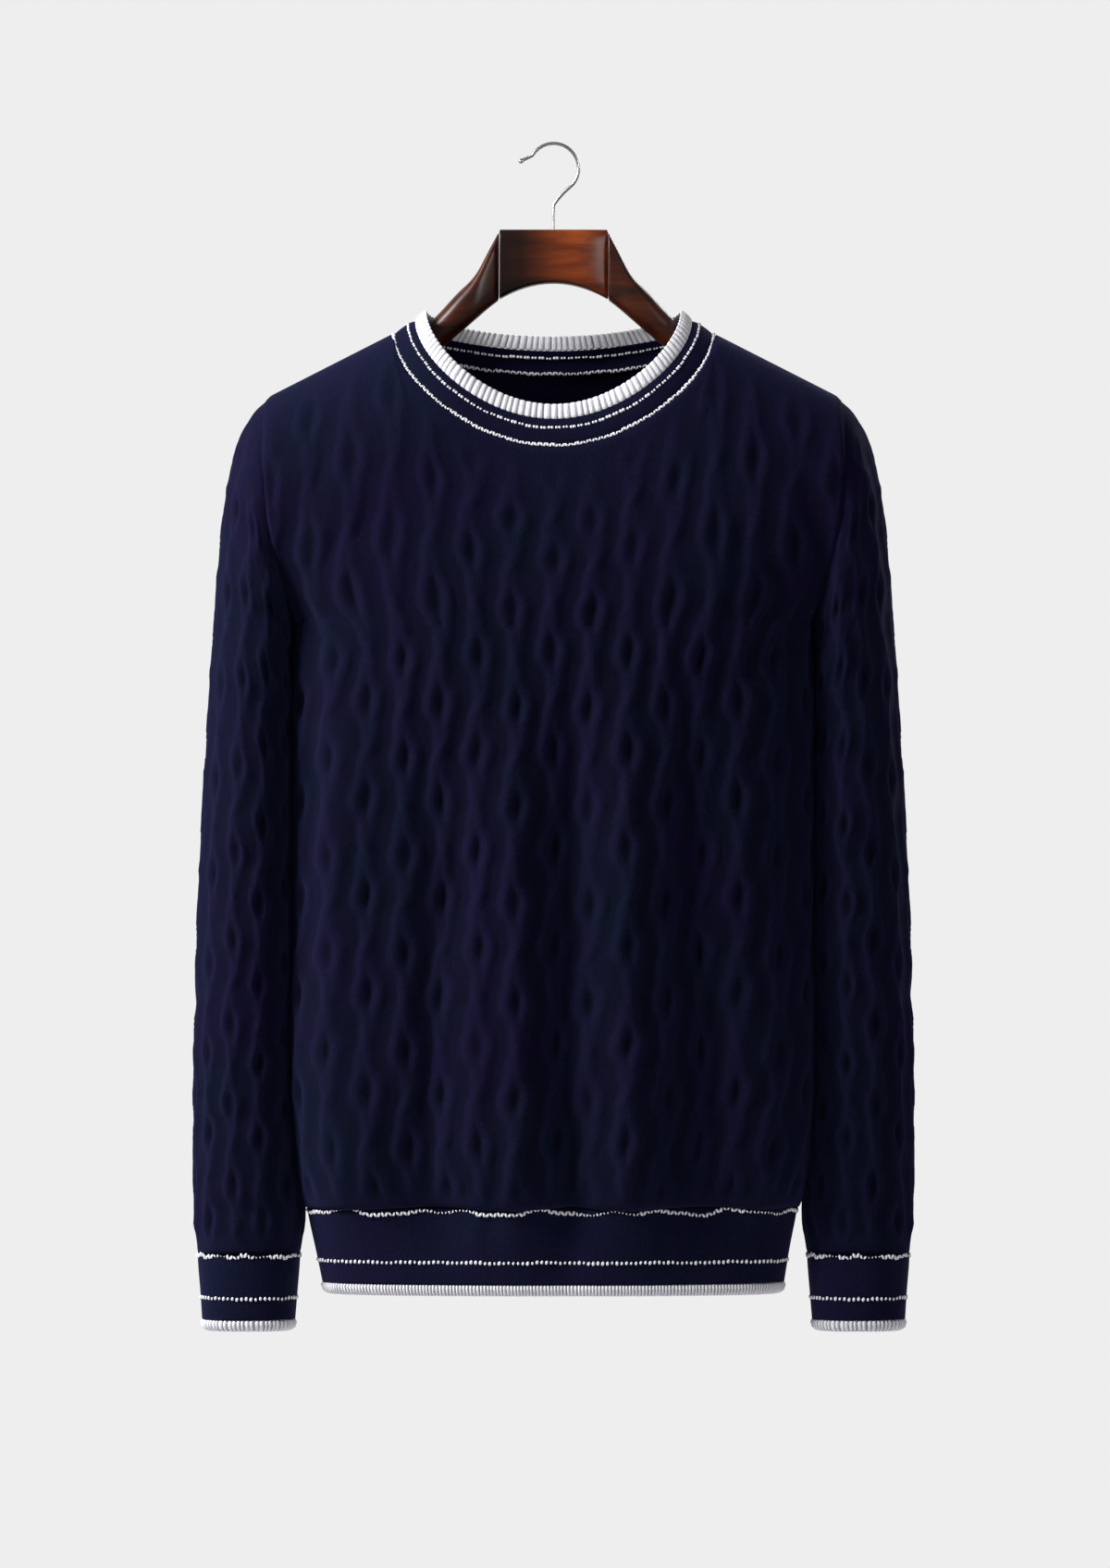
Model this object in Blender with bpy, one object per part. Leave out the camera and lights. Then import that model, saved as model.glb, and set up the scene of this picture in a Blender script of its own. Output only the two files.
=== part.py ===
"""A long-sleeved crew-neck sweater in chain-cable knit with white tipping, filled out
softly on a shaped wooden hanger with a steel hook.

Metres, +Z up. The origin is the seat inside the hook's bend, +X is the viewer's right,
and the garment's front faces -Y. Each cloth piece is a wall: an outer grid of points,
with the cables raised in it, over a plain and coarser inner grid.
"""

import math
from collections import namedtuple

import bmesh
import bpy
from mathutils import Vector

# ---- driving sizes -------------------------------------------------------------------

WALL = 0.0026  # cloth under the relief
RIB_WALL = 0.0034  # the doubled white edges
SEAM = 0.0003  # gap between pieces at a seam
ARMHOLE_GAP = 0.0005  # the same seen sideways, where the seam runs aslant
NECK_GAP = 0.0006  # and along the leaning neck pieces
CABLE_RISE = 0.0020  # height of a cable's strands over its grooves
RIB_RISE = 0.0011  # height of a neck rib

BODY_CABLES = 17  # cables across one panel
SLEEVE_CABLES = 12  # cables round one sleeve
STEPS_PER_CABLE = 4  # groove, strand, eye, strand
LOW_ROWS = 12  # panel rows from the hem up to the armpit, two to a cable twist
HIGH_ROWS = 8  # panel rows from the armpit up to the shoulder
HIGH_TWISTS = 2  # cable twists over the high rows
SLEEVE_ROWS = 20  # sleeve rows from armhole to cuff
RIB_SPLIT = 4  # steps of the ribbed edge to one step of the band, two to a rib
NECK_STEPS = 14  # panel columns from the middle to the corner of the neck

PANEL_STEPS = BODY_CABLES * STEPS_PER_CABLE
PANEL_ROWS = LOW_ROWS + HIGH_ROWS
SLEEVE_STEPS = SLEEVE_CABLES * STEPS_PER_CABLE
CHORD_STEPS = SLEEVE_STEPS // (2 * HIGH_ROWS)  # sleeve columns to one panel row

CHEST_Z = -0.4500  # the level that spaces the panel's columns
HEM_TOP = -0.7650  # where the body meets the hem band
ARMPIT_X, ARMPIT_Z = 0.1835, -0.3450
SHOULDER_X, SHOULDER_Z = 0.2070, -0.1835
ARMHOLE_DEPTH = 0.0600  # half of the armhole, front to back
ARMHOLE_BULGE = 0.0080  # how far its middle stands out from a straight line
NECK_X, NECK_Z = 0.1165, -0.1375  # the corner where neck and shoulder seams meet
NECK_FRONT_DROP, NECK_BACK_DROP = 0.0800, 0.0280
NECK_SQUARENESS = 0.57  # power of the cosine that draws the neck curve
SHOULDER_ROUND = 0.0900  # how far below the shoulder line its rounding reaches
BACK_SHARE = 0.85  # depth of the back against that of the front
HEM_SQUARENESS, CUFF_SQUARENESS = 2.4, 2.1  # powers of the bands' superellipses

# squareness is the power of the section's superellipse.
BodySection = namedtuple("BodySection", "z half_width half_depth squareness")
BODY = [
    BodySection(-0.7650, 0.1762, 0.0610, 2.4),
    BodySection(-0.7450, 0.1795, 0.0650, 2.4),
    BodySection(-0.7000, 0.1830, 0.0680, 2.4),
    BodySection(-0.5500, 0.1835, 0.0720, 2.5),
    BodySection(-0.4000, 0.1835, 0.0775, 3.0),
    BodySection(-0.3450, 0.1835, 0.0780, 3.4),
    BodySection(-0.3000, 0.1835, 0.0765, 3.4),
    BodySection(-0.2200, 0.1835, 0.0690, 3.0),
    BodySection(-0.1300, 0.1835, 0.0600, 2.6),
]

SleeveRing = namedtuple("SleeveRing", "row outer_x outer_z inner_x inner_z half_depth")
SLEEVE = [
    SleeveRing(0, 0.2070, -0.1835, 0.1835, -0.3450, 0.0600),
    SleeveRing(1, 0.2185, -0.1950, 0.1885, -0.3540, 0.0615),
    SleeveRing(2, 0.2270, -0.2130, 0.1900, -0.3660, 0.0630),
    SleeveRing(4, 0.2375, -0.2660, 0.1900, -0.4000, 0.0640),
    SleeveRing(6, 0.2430, -0.3330, 0.1900, -0.4400, 0.0620),
    SleeveRing(9, 0.2500, -0.4400, 0.1900, -0.5100, 0.0570),
    SleeveRing(12, 0.2555, -0.5450, 0.1900, -0.5850, 0.0500),
    SleeveRing(15, 0.2585, -0.6450, 0.1900, -0.6620, 0.0440),
    SleeveRing(18, 0.2590, -0.7350, 0.1872, -0.7400, 0.0385),
    SleeveRing(19, 0.2580, -0.7680, 0.1840, -0.7700, 0.0365),
    SleeveRing(20, 0.2560, -0.8000, 0.1830, -0.8000, 0.0320),
]

# The neck's loops, as shares of the seam loop's depth and with their own drops.
NeckLoop = namedtuple("NeckLoop", "half_width side_z front_z back_z depth_share")
NECK_BAND_TOP = NeckLoop(0.1000, -0.1262, -0.1970, -0.1475, 0.94)
NECK_RIB_TOP = NeckLoop(0.0915, -0.1200, -0.1860, -0.1370, 0.88)

BandRing = namedtuple("BandRing", "z centre_x half_width half_depth")
HEM_BAND = [
    BandRing(-0.7653, 0.0, 0.1760, 0.0608),
    BandRing(-0.7720, 0.0, 0.1750, 0.0595),
    BandRing(-0.7950, 0.0, 0.1705, 0.0580),
    BandRing(-0.8200, 0.0, 0.1665, 0.0570),
]
HEM_RIB = [
    BandRing(-0.8203, 0.0, 0.1668, 0.0573),
    BandRing(-0.8260, 0.0, 0.1662, 0.0568),
    BandRing(-0.8285, 0.0, 0.1650, 0.0558),
]
CUFF_BAND = [
    BandRing(-0.8003, 0.2195, 0.0363, 0.0318),
    BandRing(-0.8080, 0.2195, 0.0380, 0.0315),
    BandRing(-0.8290, 0.2195, 0.0358, 0.0300),
    BandRing(-0.8470, 0.2197, 0.0345, 0.0290),
]
CUFF_RIB = [
    BandRing(-0.8473, 0.2197, 0.0348, 0.0293),
    BandRing(-0.8530, 0.2197, 0.0343, 0.0289),
    BandRing(-0.8555, 0.2197, 0.0332, 0.0280),
]
HEM_STEPS = 48
CUFF_STEPS = 24
BODY_STRIDE = 4  # outer columns to one inner column, on a panel
NECK_STRIDE = 2  # and round the neck
BAND_STRIDE = 2  # and round the hem and cuffs

# The hanger: a middle block with an arch below, two arms and a hook.
BLOCK_HALF_WIDTH = 0.0392
BLOCK_TOP = -0.0611
BLOCK_FOOT = -0.1115
ARCH_TOP = -0.1000
BLOCK_HALF_DEPTH = 0.0105
BLOCK_EDGE = 0.0010

ArmSection = namedtuple("ArmSection", "x top bottom half_depth")
ARM = [
    ArmSection(0.0395, -0.0625, -0.1120, 0.0110),
    ArmSection(0.0460, -0.0745, -0.1170, 0.0118),
    ArmSection(0.0560, -0.0930, -0.1255, 0.0135),
    ArmSection(0.0700, -0.1075, -0.1375, 0.0140),
    ArmSection(0.0880, -0.1265, -0.1520, 0.0125),
    ArmSection(0.1100, -0.1425, -0.1660, 0.0130),
    ArmSection(0.1300, -0.1525, -0.1770, 0.0160),
    ArmSection(0.1500, -0.1600, -0.1880, 0.0185),
    ArmSection(0.1720, -0.1702, -0.2010, 0.0185),
    ArmSection(0.1850, -0.1780, -0.2040, 0.0150),
    ArmSection(0.1900, -0.1860, -0.2000, 0.0080),
]
ARM_SIDES = 16

WIRE = 0.0014  # half the hook's wire
HOOK_RADIUS = 0.0180  # of the wire's middle line round the bend
HOOK_CENTRE_Z = WIRE - HOOK_RADIUS
HOOK_START, HOOK_END = math.radians(-40), math.radians(149)
HOOK_SHAFT_TOP = -0.0440
HOOK_TIP_X, HOOK_TIP_Z = -0.0235, -0.0114
BALL_SHARE = 1.5  # the ball's radius in wire radii


# ---- small helpers -------------------------------------------------------------------


def lerp(a, b, share):
    return a + (b - a) * share


def read(table, key, name, at):
    """The table's column `name` where its column `key` is `at`, along a smooth curve."""
    rows = sorted(table, key=lambda row: getattr(row, key))
    keys = [getattr(row, key) for row in rows]
    values = [getattr(row, name) for row in rows]
    if at <= keys[0]:
        return values[0]
    if at >= keys[-1]:
        return values[-1]
    slopes = [(v1 - v0) / (k1 - k0) for k0, k1, v0, v1 in zip(keys, keys[1:], values, values[1:])]
    bends = [slopes[0]] + [(a + b) / 2 for a, b in zip(slopes, slopes[1:])] + [slopes[-1]]
    i = max(n for n, k in enumerate(keys[:-1]) if k <= at)
    span = keys[i + 1] - keys[i]
    t = (at - keys[i]) / span
    return (
        (2 * t**3 - 3 * t**2 + 1) * values[i]
        + (t**3 - 2 * t**2 + t) * span * bends[i]
        + (3 * t**2 - 2 * t**3) * values[i + 1]
        + (t**3 - t**2) * span * bends[i + 1]
    )


def even_along(curve, count):
    """count + 1 points at equal steps along a dense list of points."""
    lengths = [0.0]
    for a, b in zip(curve, curve[1:]):
        lengths.append(lengths[-1] + (b - a).length)
    points = []
    i = 0
    for n in range(count + 1):
        at = lengths[-1] * n / count
        while i < len(lengths) - 2 and lengths[i + 1] < at:
            i += 1
        share = (at - lengths[i]) / (lengths[i + 1] - lengths[i])
        points.append(curve[i].lerp(curve[i + 1], min(share, 1.0)))
    return points


def rounded(share, power):
    """A superellipse's height, 1 in the middle and 0 at share 1."""
    return max(0.0, 1 - min(abs(share), 1.0) ** power) ** (1 / power)


# ---- solids from grids ---------------------------------------------------------------


def finish(name, mesh, material):
    """The mesh as a named object with its faces pointing out."""
    bmesh.ops.recalc_face_normals(mesh, faces=mesh.faces)
    data = bpy.data.meshes.new(name)
    mesh.to_mesh(data)
    mesh.free()
    data.shade_smooth()
    data.materials.append(material)
    obj = bpy.data.objects.new(name, data)
    SWEATER.objects.link(obj)
    return obj


def add_grid(mesh, rows, closed):
    """A sheet of quads through rows of points. Returns its rows of vertices."""
    verts = [[mesh.verts.new(point) for point in row] for row in rows]
    if closed:
        verts = [row + row[:1] for row in verts]
    for low, high in zip(verts, verts[1:]):
        for i in range(len(low) - 1):
            mesh.faces.new((low[i], low[i + 1], high[i + 1], high[i]))
    return verts


def add_rim(mesh, outer, inner):
    """Faces between two runs of (share, vertex) that start and end together."""
    a = b = 0
    while a < len(outer) - 1 or b < len(inner) - 1:
        next_a = outer[a + 1][0] if a < len(outer) - 1 else math.inf
        next_b = inner[b + 1][0] if b < len(inner) - 1 else math.inf
        both = abs(next_a - next_b) < 1e-6
        step_a = both or next_a < next_b
        step_b = both or next_b < next_a
        corners = [outer[a][1]]
        if step_a:
            corners.append(outer[a + 1][1])
        if step_b:
            corners.append(inner[b + 1][1])
        corners.append(inner[b][1])
        mesh.faces.new(corners)
        a += step_a
        b += step_b


def run(verts, places):
    """An edge's vertices with their shares of its length in steps."""
    return [(place / places[-1], vert) for place, vert in zip(places, verts)]


def add_wall(name, outer, inner, inner_columns, inner_rows, closed, material):
    """A cloth solid: a fine outer grid and a coarse inner one, joined at their rims.

    inner_columns and inner_rows list the outer columns and rows the inner grid follows.
    """
    mesh = bmesh.new()
    skin = add_grid(mesh, outer, closed)
    back = add_grid(mesh, inner, closed)
    columns = list(range(len(skin[0])))
    rows = list(range(len(skin)))
    followed = inner_columns + ([columns[-1]] if closed else [])
    for end in (0, -1):
        add_rim(mesh, run(skin[end], columns), run(back[end], followed))
    if not closed:
        for end in (0, -1):
            side = [row[end] for row in skin]
            back_side = [row[end] for row in back]
            add_rim(mesh, run(side, rows), run(back_side, inner_rows))
    return finish(name, mesh, material)


def grid_normal(rows, j, i, closed):
    """The unit normal of a grid of points, towards the side away from the part's middle."""
    last = len(rows[j])
    if closed:
        across = rows[j][(i + 1) % last] - rows[j][i - 1]
    else:
        across = rows[j][min(i + 1, last - 1)] - rows[j][max(i - 1, 0)]
    along = rows[min(j + 1, len(rows) - 1)][i] - rows[max(j - 1, 0)][i]
    return across.cross(along).normalized()


# ---- the cable relief ----------------------------------------------------------------


def cable_step(column, twist):
    """(sideways shift in columns, height share) of one column of a chain cable.

    Two strands part round an eye and close again once per twist. Neighbouring cables
    are half a twist apart.
    """
    cable, place = divmod(column, STEPS_PER_CABLE)
    opening = 0.5 + 0.5 * math.cos(2 * math.pi * (twist + 0.5 * (cable % 2)))
    spread = lerp(0.45, 1.20, opening)
    if place == 1:
        return 1 - spread, 1.0
    if place == 3:
        return spread - 1, 1.0
    if place == 2:
        return 0.0, 1 - opening
    return 0.0, 0.0


def raise_cables(rows, twists, strengths, closed, outwards):
    """The rows with the cables raised in them along their normals."""
    raised = []
    for j, row in enumerate(rows):
        new_row = []
        for i, point in enumerate(row):
            shift, height = cable_step(i, twists[j])
            before = row[i - 1] if closed else row[max(i - 1, 0)]
            after = row[(i + 1) % len(row)] if closed else row[min(i + 1, len(row) - 1)]
            normal = grid_normal(rows, j, i, closed) * outwards
            moved = (after - before) * (0.5 * shift * strengths[j])
            new_row.append(point + moved + normal * (CABLE_RISE * height * strengths[j]))
        raised.append(new_row)
    return raised


# ---- the body's surface --------------------------------------------------------------


def even_shares():
    """Each panel column's share of the half-width, at equal steps round the body."""
    half_width = read(BODY, "z", "half_width", CHEST_Z)
    half_depth = read(BODY, "z", "half_depth", CHEST_Z)
    power = 2 / read(BODY, "z", "squareness", CHEST_Z)
    curve = []
    for n in range(401):
        c, s = math.cos(math.pi * n / 400), math.sin(math.pi * n / 400)
        across = -math.copysign(abs(c) ** power, c)
        curve.append(Vector((half_width * across, half_depth * s**power)))
    return [point.x / half_width for point in even_along(curve, PANEL_STEPS)]


def shoulder_line(x):
    slope = (SHOULDER_Z - NECK_Z) / (SHOULDER_X - NECK_X)
    return NECK_Z + slope * (abs(x) - NECK_X)


def neck_curve(drop):
    """Points (x, z) of one side's neck seam, from its left corner to its right one."""
    dense = []
    for n in range(401):
        share = -1 + n / 200
        fall = max(0.0, math.cos(share * math.pi / 2)) ** NECK_SQUARENESS
        dense.append(Vector((share * NECK_X, NECK_Z - drop * fall)))
    return even_along(dense, 2 * NECK_STEPS)


def top_edge(drop):
    """(x, z) of a panel's top edge at each column: shoulder, neck, shoulder."""
    reach = PANEL_STEPS // 2 - NECK_STEPS
    outer = [lerp(SHOULDER_X, NECK_X, n / reach) for n in range(reach)]
    left = [Vector((-x, shoulder_line(x))) for x in outer]
    right = [Vector((x, shoulder_line(x))) for x in reversed(outer)]
    return left + neck_curve(drop) + right


def armhole_x(turn):
    """The armhole's x at an angle from the armpit (0) up to the shoulder (pi)."""
    rise = (1 - math.cos(turn)) / 2
    return lerp(ARMPIT_X, SHOULDER_X, rise) + ARMHOLE_BULGE * math.sin(turn) ** 2


def high_turn(row):
    return math.pi * (row - LOW_ROWS) / HIGH_ROWS


def body_depth(x, z):
    """Half-depth of the body's middle, rounded off towards the shoulder line."""
    below = max(0.0, shoulder_line(x) - z)
    share = min(below / SHOULDER_ROUND, 1.0)
    return read(BODY, "z", "half_depth", z) * math.sqrt(1 - (1 - share) ** 2)


def panel_rows(facing):
    """The smooth surface of the front (facing -1) or back (facing 1) panel."""
    shares = even_shares()
    top = top_edge(NECK_FRONT_DROP if facing < 0 else NECK_BACK_DROP)
    side_share = 1.0 if facing < 0 else BACK_SHARE
    rows = []
    for row in range(PANEL_ROWS + 1):
        points = []
        for share, edge in zip(shares, top):
            if row <= LOW_ROWS:
                z = lerp(HEM_TOP, ARMPIT_Z, row / LOW_ROWS)
                x = share * read(BODY, "z", "half_width", z)
                form = rounded(share, read(BODY, "z", "squareness", z))
                depth = side_share * read(BODY, "z", "half_depth", z) * form
            else:
                turn = high_turn(row)
                rise = (1 - math.cos(turn)) / 2
                z = lerp(ARMPIT_Z, edge.y, rise)
                x = lerp(share * armhole_x(turn), edge.x, rise**2)
                side = ARMHOLE_DEPTH * math.sin(turn)
                full = side_share * body_depth(x, z)
                form = rounded(share, read(BODY, "z", "squareness", z))
                form = lerp(form, 1 - share**4, math.sin(turn))
                depth = side + (full - side) * form
            points.append(Vector((x, facing * (SEAM / 2 + max(depth, 0.0)), z)))
        rows.append(points)
    return rows


def armhole_rim(turn, facing, side, piece):
    """From the outer to the inner edge of the wall at the armhole.

    Under the arm the body's edge turns in and the sleeve's turns out, side by side.
    """
    apart = max(0.0, math.cos(2 * turn)) if turn < math.pi / 2 else 0.0
    sideways = apart * (1 if piece == "sleeve" else -1)
    inwards = Vector((0, -facing * math.sin(turn), math.cos(turn))) * (1 - apart)
    return (Vector((side * sideways, 0, 0)) + inwards).normalized() * WALL


def neck_rim(share, facing, wall):
    """From the outer to the inner edge of a wall round the neck, share 1 at the middle."""
    return Vector((0, -facing * share, -(1 - share))).normalized() * wall


def neck_shares(drop):
    """How far down each point of a neck seam lies, 0 at its corners and 1 at its middle."""
    return [(NECK_Z - point.y) / drop for point in neck_curve(drop)]


def panel_inner(rows, facing, columns, followed_rows):
    """The plain inside of a panel, a wall's thickness in, with edges that meet their neighbours'."""
    drop = NECK_FRONT_DROP if facing < 0 else NECK_BACK_DROP
    falls = dict(zip(range(PANEL_STEPS // 2 - NECK_STEPS, PANEL_STEPS), neck_shares(drop)))
    inner = []
    for j in followed_rows:
        new_row = []
        for i in columns:
            point = rows[j][i]
            if i in (0, PANEL_STEPS) and j >= LOW_ROWS:
                side = math.copysign(1, point.x)
                new_row.append(point + armhole_rim(high_turn(j), facing, side, "body"))
                continue
            if j == PANEL_ROWS:
                new_row.append(point + neck_rim(falls.get(i, 0.0), facing, WALL))
                continue
            normal = grid_normal(rows, j, i, False) * -facing
            if i in (0, PANEL_STEPS):
                normal = Vector((point.x, 0, 0)).normalized()
            elif j == 0:
                normal.z = 0
                normal.normalize()
            new_row.append(point - normal * WALL)
        inner.append(new_row)
    return inner


def make_panel(name, facing, material):
    rows = panel_rows(facing)
    twists = [row / 2 for row in range(LOW_ROWS + 1)]
    twists += [
        LOW_ROWS / 2 + HIGH_TWISTS * (1 - math.cos(high_turn(row))) / 2
        for row in range(LOW_ROWS + 1, PANEL_ROWS + 1)
    ]
    fades = {0: 0.0, PANEL_ROWS: 0.0, PANEL_ROWS - 1: 0.25, PANEL_ROWS - 2: 0.6}
    strengths = [fades.get(row, 1.0) for row in range(PANEL_ROWS + 1)]
    outer = raise_cables(rows, twists, strengths, False, -facing)
    corner = PANEL_STEPS // 2 - NECK_STEPS
    columns = list(range(0, corner, BODY_STRIDE))
    columns += list(range(corner, PANEL_STEPS - corner, NECK_STRIDE))
    columns += list(range(PANEL_STEPS - corner, PANEL_STEPS + 1, BODY_STRIDE))
    followed_rows = list(range(0, LOW_ROWS, 2)) + list(range(LOW_ROWS, PANEL_ROWS + 1))
    inner = panel_inner(rows, facing, columns, followed_rows)
    add_wall(name, outer, inner, columns, followed_rows, False, material)
    return rows


# ---- sleeves -------------------------------------------------------------------------


def armhole_loop(front, back, side):
    """The armhole's points and rim directions, from armpit over the front to the shoulder and back."""
    column = PANEL_STEPS if side > 0 else 0
    high = list(range(LOW_ROWS, PANEL_ROWS + 1))
    corners = [(front[j][column], armhole_rim(high_turn(j), -1, side, "sleeve")) for j in high]
    corners += [
        (back[j][column], armhole_rim(high_turn(j), 1, side, "sleeve"))
        for j in reversed(high[1:-1])
    ]
    step = Vector((side * ARMHOLE_GAP, 0, 0))
    return [(point + step, rim) for point, rim in corners]


def sleeve_ring(row, side):
    """One smooth ring of the sleeve, its first point under the arm."""
    outer = Vector((read(SLEEVE, "row", "outer_x", row), 0, read(SLEEVE, "row", "outer_z", row)))
    inner = Vector((read(SLEEVE, "row", "inner_x", row), 0, read(SLEEVE, "row", "inner_z", row)))
    half_depth = read(SLEEVE, "row", "half_depth", row)
    bulge = ARMHOLE_BULGE * max(0.0, 1 - row / 3)
    middle = (outer + inner) / 2
    ring = []
    for n in range(SLEEVE_STEPS):
        turn = 2 * math.pi * n / SLEEVE_STEPS
        point = middle - (outer - middle) * math.cos(turn)
        point.y = -half_depth * math.sin(turn)
        point.x += bulge * math.sin(turn) ** 2
        point.x *= side
        ring.append(point)
    return ring


def make_sleeve(name, side, front, back, material):
    loop = armhole_loop(front, back, side)
    start = []
    for n, (point, _) in enumerate(loop):
        following = loop[(n + 1) % len(loop)][0]
        start += [point.lerp(following, step / CHORD_STEPS) for step in range(CHORD_STEPS)]
    rows = [start] + [sleeve_ring(row, side) for row in range(1, SLEEVE_ROWS + 1)]
    twists = [row / 2 for row in range(SLEEVE_ROWS + 1)]
    fades = {0: 0.0, 1: 0.0, 2: 0.4, 3: 0.8, SLEEVE_ROWS - 1: 0.7, SLEEVE_ROWS: 0.0}
    strengths = [0.9 * fades.get(row, 1.0) for row in range(SLEEVE_ROWS + 1)]
    outer = raise_cables(rows, twists, strengths, True, side)
    columns = list(range(0, SLEEVE_STEPS, CHORD_STEPS))
    followed_rows = [0, 1] + list(range(2, SLEEVE_ROWS + 1, 2))
    inner = []
    for j in followed_rows:
        new_row = []
        for i in columns:
            if j == 0:
                new_row.append(rows[0][i] + loop[i // CHORD_STEPS][1])
                continue
            normal = grid_normal(rows, j, i, True) * side
            if j == SLEEVE_ROWS:
                normal.z = 0
                normal.normalize()
            new_row.append(rows[j][i] - normal * WALL)
        inner.append(new_row)
    add_wall(name, outer, inner, columns, followed_rows, True, material)


# ---- neck ----------------------------------------------------------------------------


def neck_seam(front, back):
    """Points and (fall share, facing) round the neck seam, starting at its left corner."""
    first = PANEL_STEPS // 2 - NECK_STEPS
    last = PANEL_STEPS // 2 + NECK_STEPS
    front_falls = neck_shares(NECK_FRONT_DROP)
    back_falls = neck_shares(NECK_BACK_DROP)
    loop = [
        (front[-1][i], front_falls[i - first], -1) for i in range(first, last + 1)
    ]
    loop += [
        (back[-1][i], back_falls[i - first], 1) for i in range(last - 1, first, -1)
    ]
    return loop


def neck_loop(seam, form):
    """The seam loop carried to another of the neck's loops."""
    points = []
    for point, fall, facing in seam:
        middle_z = form.front_z if facing < 0 else form.back_z
        points.append(
            Vector(
                (
                    point.x * form.half_width / NECK_X,
                    point.y * form.depth_share,
                    lerp(form.side_z, middle_z, fall),
                )
            )
        )
    return points


def towards(points, others, distance):
    """The points moved a little towards their partners."""
    return [p + (q - p).normalized() * distance for p, q in zip(points, others)]


def make_neck(front, back, band_material, rib_material):
    seam = neck_seam(front, back)
    base = [point for point, _, _ in seam]
    band_top = neck_loop(seam, NECK_BAND_TOP)
    rib_top = neck_loop(seam, NECK_RIB_TOP)
    rims = [neck_rim(fall, facing, 1.0) for _, fall, facing in seam]

    low = towards(base, band_top, NECK_GAP)
    middle = [a.lerp(b, 0.5) - rim * 0.0006 for a, b, rim in zip(base, band_top, rims)]
    outer = [low, middle, band_top]
    followed = list(range(0, len(seam), NECK_STRIDE))
    inner = [[row[n] + rims[n] * WALL for n in followed] for row in outer]
    add_wall("neck_band", outer, inner, followed, [0, 1, 2], True, band_material)

    start = towards(band_top, rib_top, NECK_GAP)
    rib_outer = []
    for row in (start, rib_top):
        fine = []
        for n, point in enumerate(row):
            following = row[(n + 1) % len(row)]
            rim, next_rim = rims[n], rims[(n + 1) % len(row)]
            for step in range(RIB_SPLIT):
                direction = rim.lerp(next_rim, step / RIB_SPLIT)
                raised = RIB_RISE * (step % 2)
                fine.append(point.lerp(following, step / RIB_SPLIT) - direction * raised)
        rib_outer.append(fine)
    rib_inner = [[row[n] + rims[n] * RIB_WALL for n in followed] for row in (start, rib_top)]
    columns = [n * RIB_SPLIT for n in followed]
    add_wall("neck_rib", rib_outer, rib_inner, columns, [0, 1], True, rib_material)


# ---- hem and cuffs -------------------------------------------------------------------


def band_loop(ring, side, steps, inset):
    """A level closed loop: the body's two half-depths for the hem, an ellipse for a cuff."""
    power = 2 / (HEM_SQUARENESS if ring.centre_x == 0 else CUFF_SQUARENESS)
    loop = []
    for n in range(steps):
        turn = 2 * math.pi * n / steps
        c, s = math.cos(turn), math.sin(turn)
        x = (ring.half_width - inset) * math.copysign(abs(c) ** power, c)
        depth = ring.half_depth * (BACK_SHARE if ring.centre_x == 0 and s > 0 else 1.0)
        y = (depth - inset) * math.copysign(abs(s) ** power, s)
        loop.append(Vector((side * ring.centre_x + x, y, ring.z)))
    return loop


def make_band(name, rings, side, steps, wall, material):
    outer = [band_loop(ring, side, steps, 0.0) for ring in rings]
    ends = (rings[0], rings[-1])
    inner = [band_loop(ring, side, steps, wall)[::BAND_STRIDE] for ring in ends]
    followed = list(range(0, steps, BAND_STRIDE))
    add_wall(name, outer, inner, followed, [0, len(rings) - 1], True, material)


# ---- the hanger ----------------------------------------------------------------------


def make_block(material):
    """The middle of the hanger: a flat board with a rounded arch cut from its foot."""
    outline = [Vector((-BLOCK_HALF_WIDTH, BLOCK_TOP)), Vector((BLOCK_HALF_WIDTH, BLOCK_TOP))]
    for n in range(13):
        share = 1 - n / 6
        rise = (ARCH_TOP - BLOCK_FOOT) * (1 - share**2)
        outline.append(Vector((share * BLOCK_HALF_WIDTH, BLOCK_FOOT + rise)))
    curve = bpy.data.curves.new("hanger_block", "CURVE")
    curve.dimensions = "2D"
    curve.fill_mode = "BOTH"
    curve.extrude = BLOCK_HALF_DEPTH - BLOCK_EDGE
    curve.bevel_depth = BLOCK_EDGE
    curve.bevel_resolution = 1
    curve.offset = -BLOCK_EDGE
    spline = curve.splines.new("POLY")
    spline.points.add(len(outline) - 1)
    for point, place in zip(spline.points, outline):
        point.co = (place.x, place.y, 0, 1)
    spline.use_cyclic_u = True
    curve.materials.append(material)
    block = bpy.data.objects.new("hanger_block", curve)
    block.rotation_euler = (math.pi / 2, 0, 0)
    SWEATER.objects.link(block)


def make_arm(name, side, material):
    """One shaped arm, from the block out to its rounded tip under the shoulder."""
    count = 14
    stations = [
        lerp(ARM[0].x, ARM[-1].x, 1 - (1 - n / count) ** 1.15) for n in range(count + 1)
    ]
    mesh = bmesh.new()
    rings = []
    for x in stations:
        top = read(ARM, "x", "top", x)
        bottom = read(ARM, "x", "bottom", x)
        half_depth = read(ARM, "x", "half_depth", x)
        ring = []
        for n in range(ARM_SIDES):
            turn = 2 * math.pi * n / ARM_SIDES
            y = half_depth * math.cos(turn)
            z = (top + bottom) / 2 + (top - bottom) / 2 * math.sin(turn)
            ring.append(mesh.verts.new((side * x, y, z)))
        rings.append(ring)
    for a, b in zip(rings, rings[1:]):
        for n in range(ARM_SIDES):
            m = (n + 1) % ARM_SIDES
            mesh.faces.new((a[n], a[m], b[m], b[n]))
    mesh.faces.new(rings[0])
    mesh.faces.new(rings[-1])
    finish(name, mesh, material)


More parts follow.
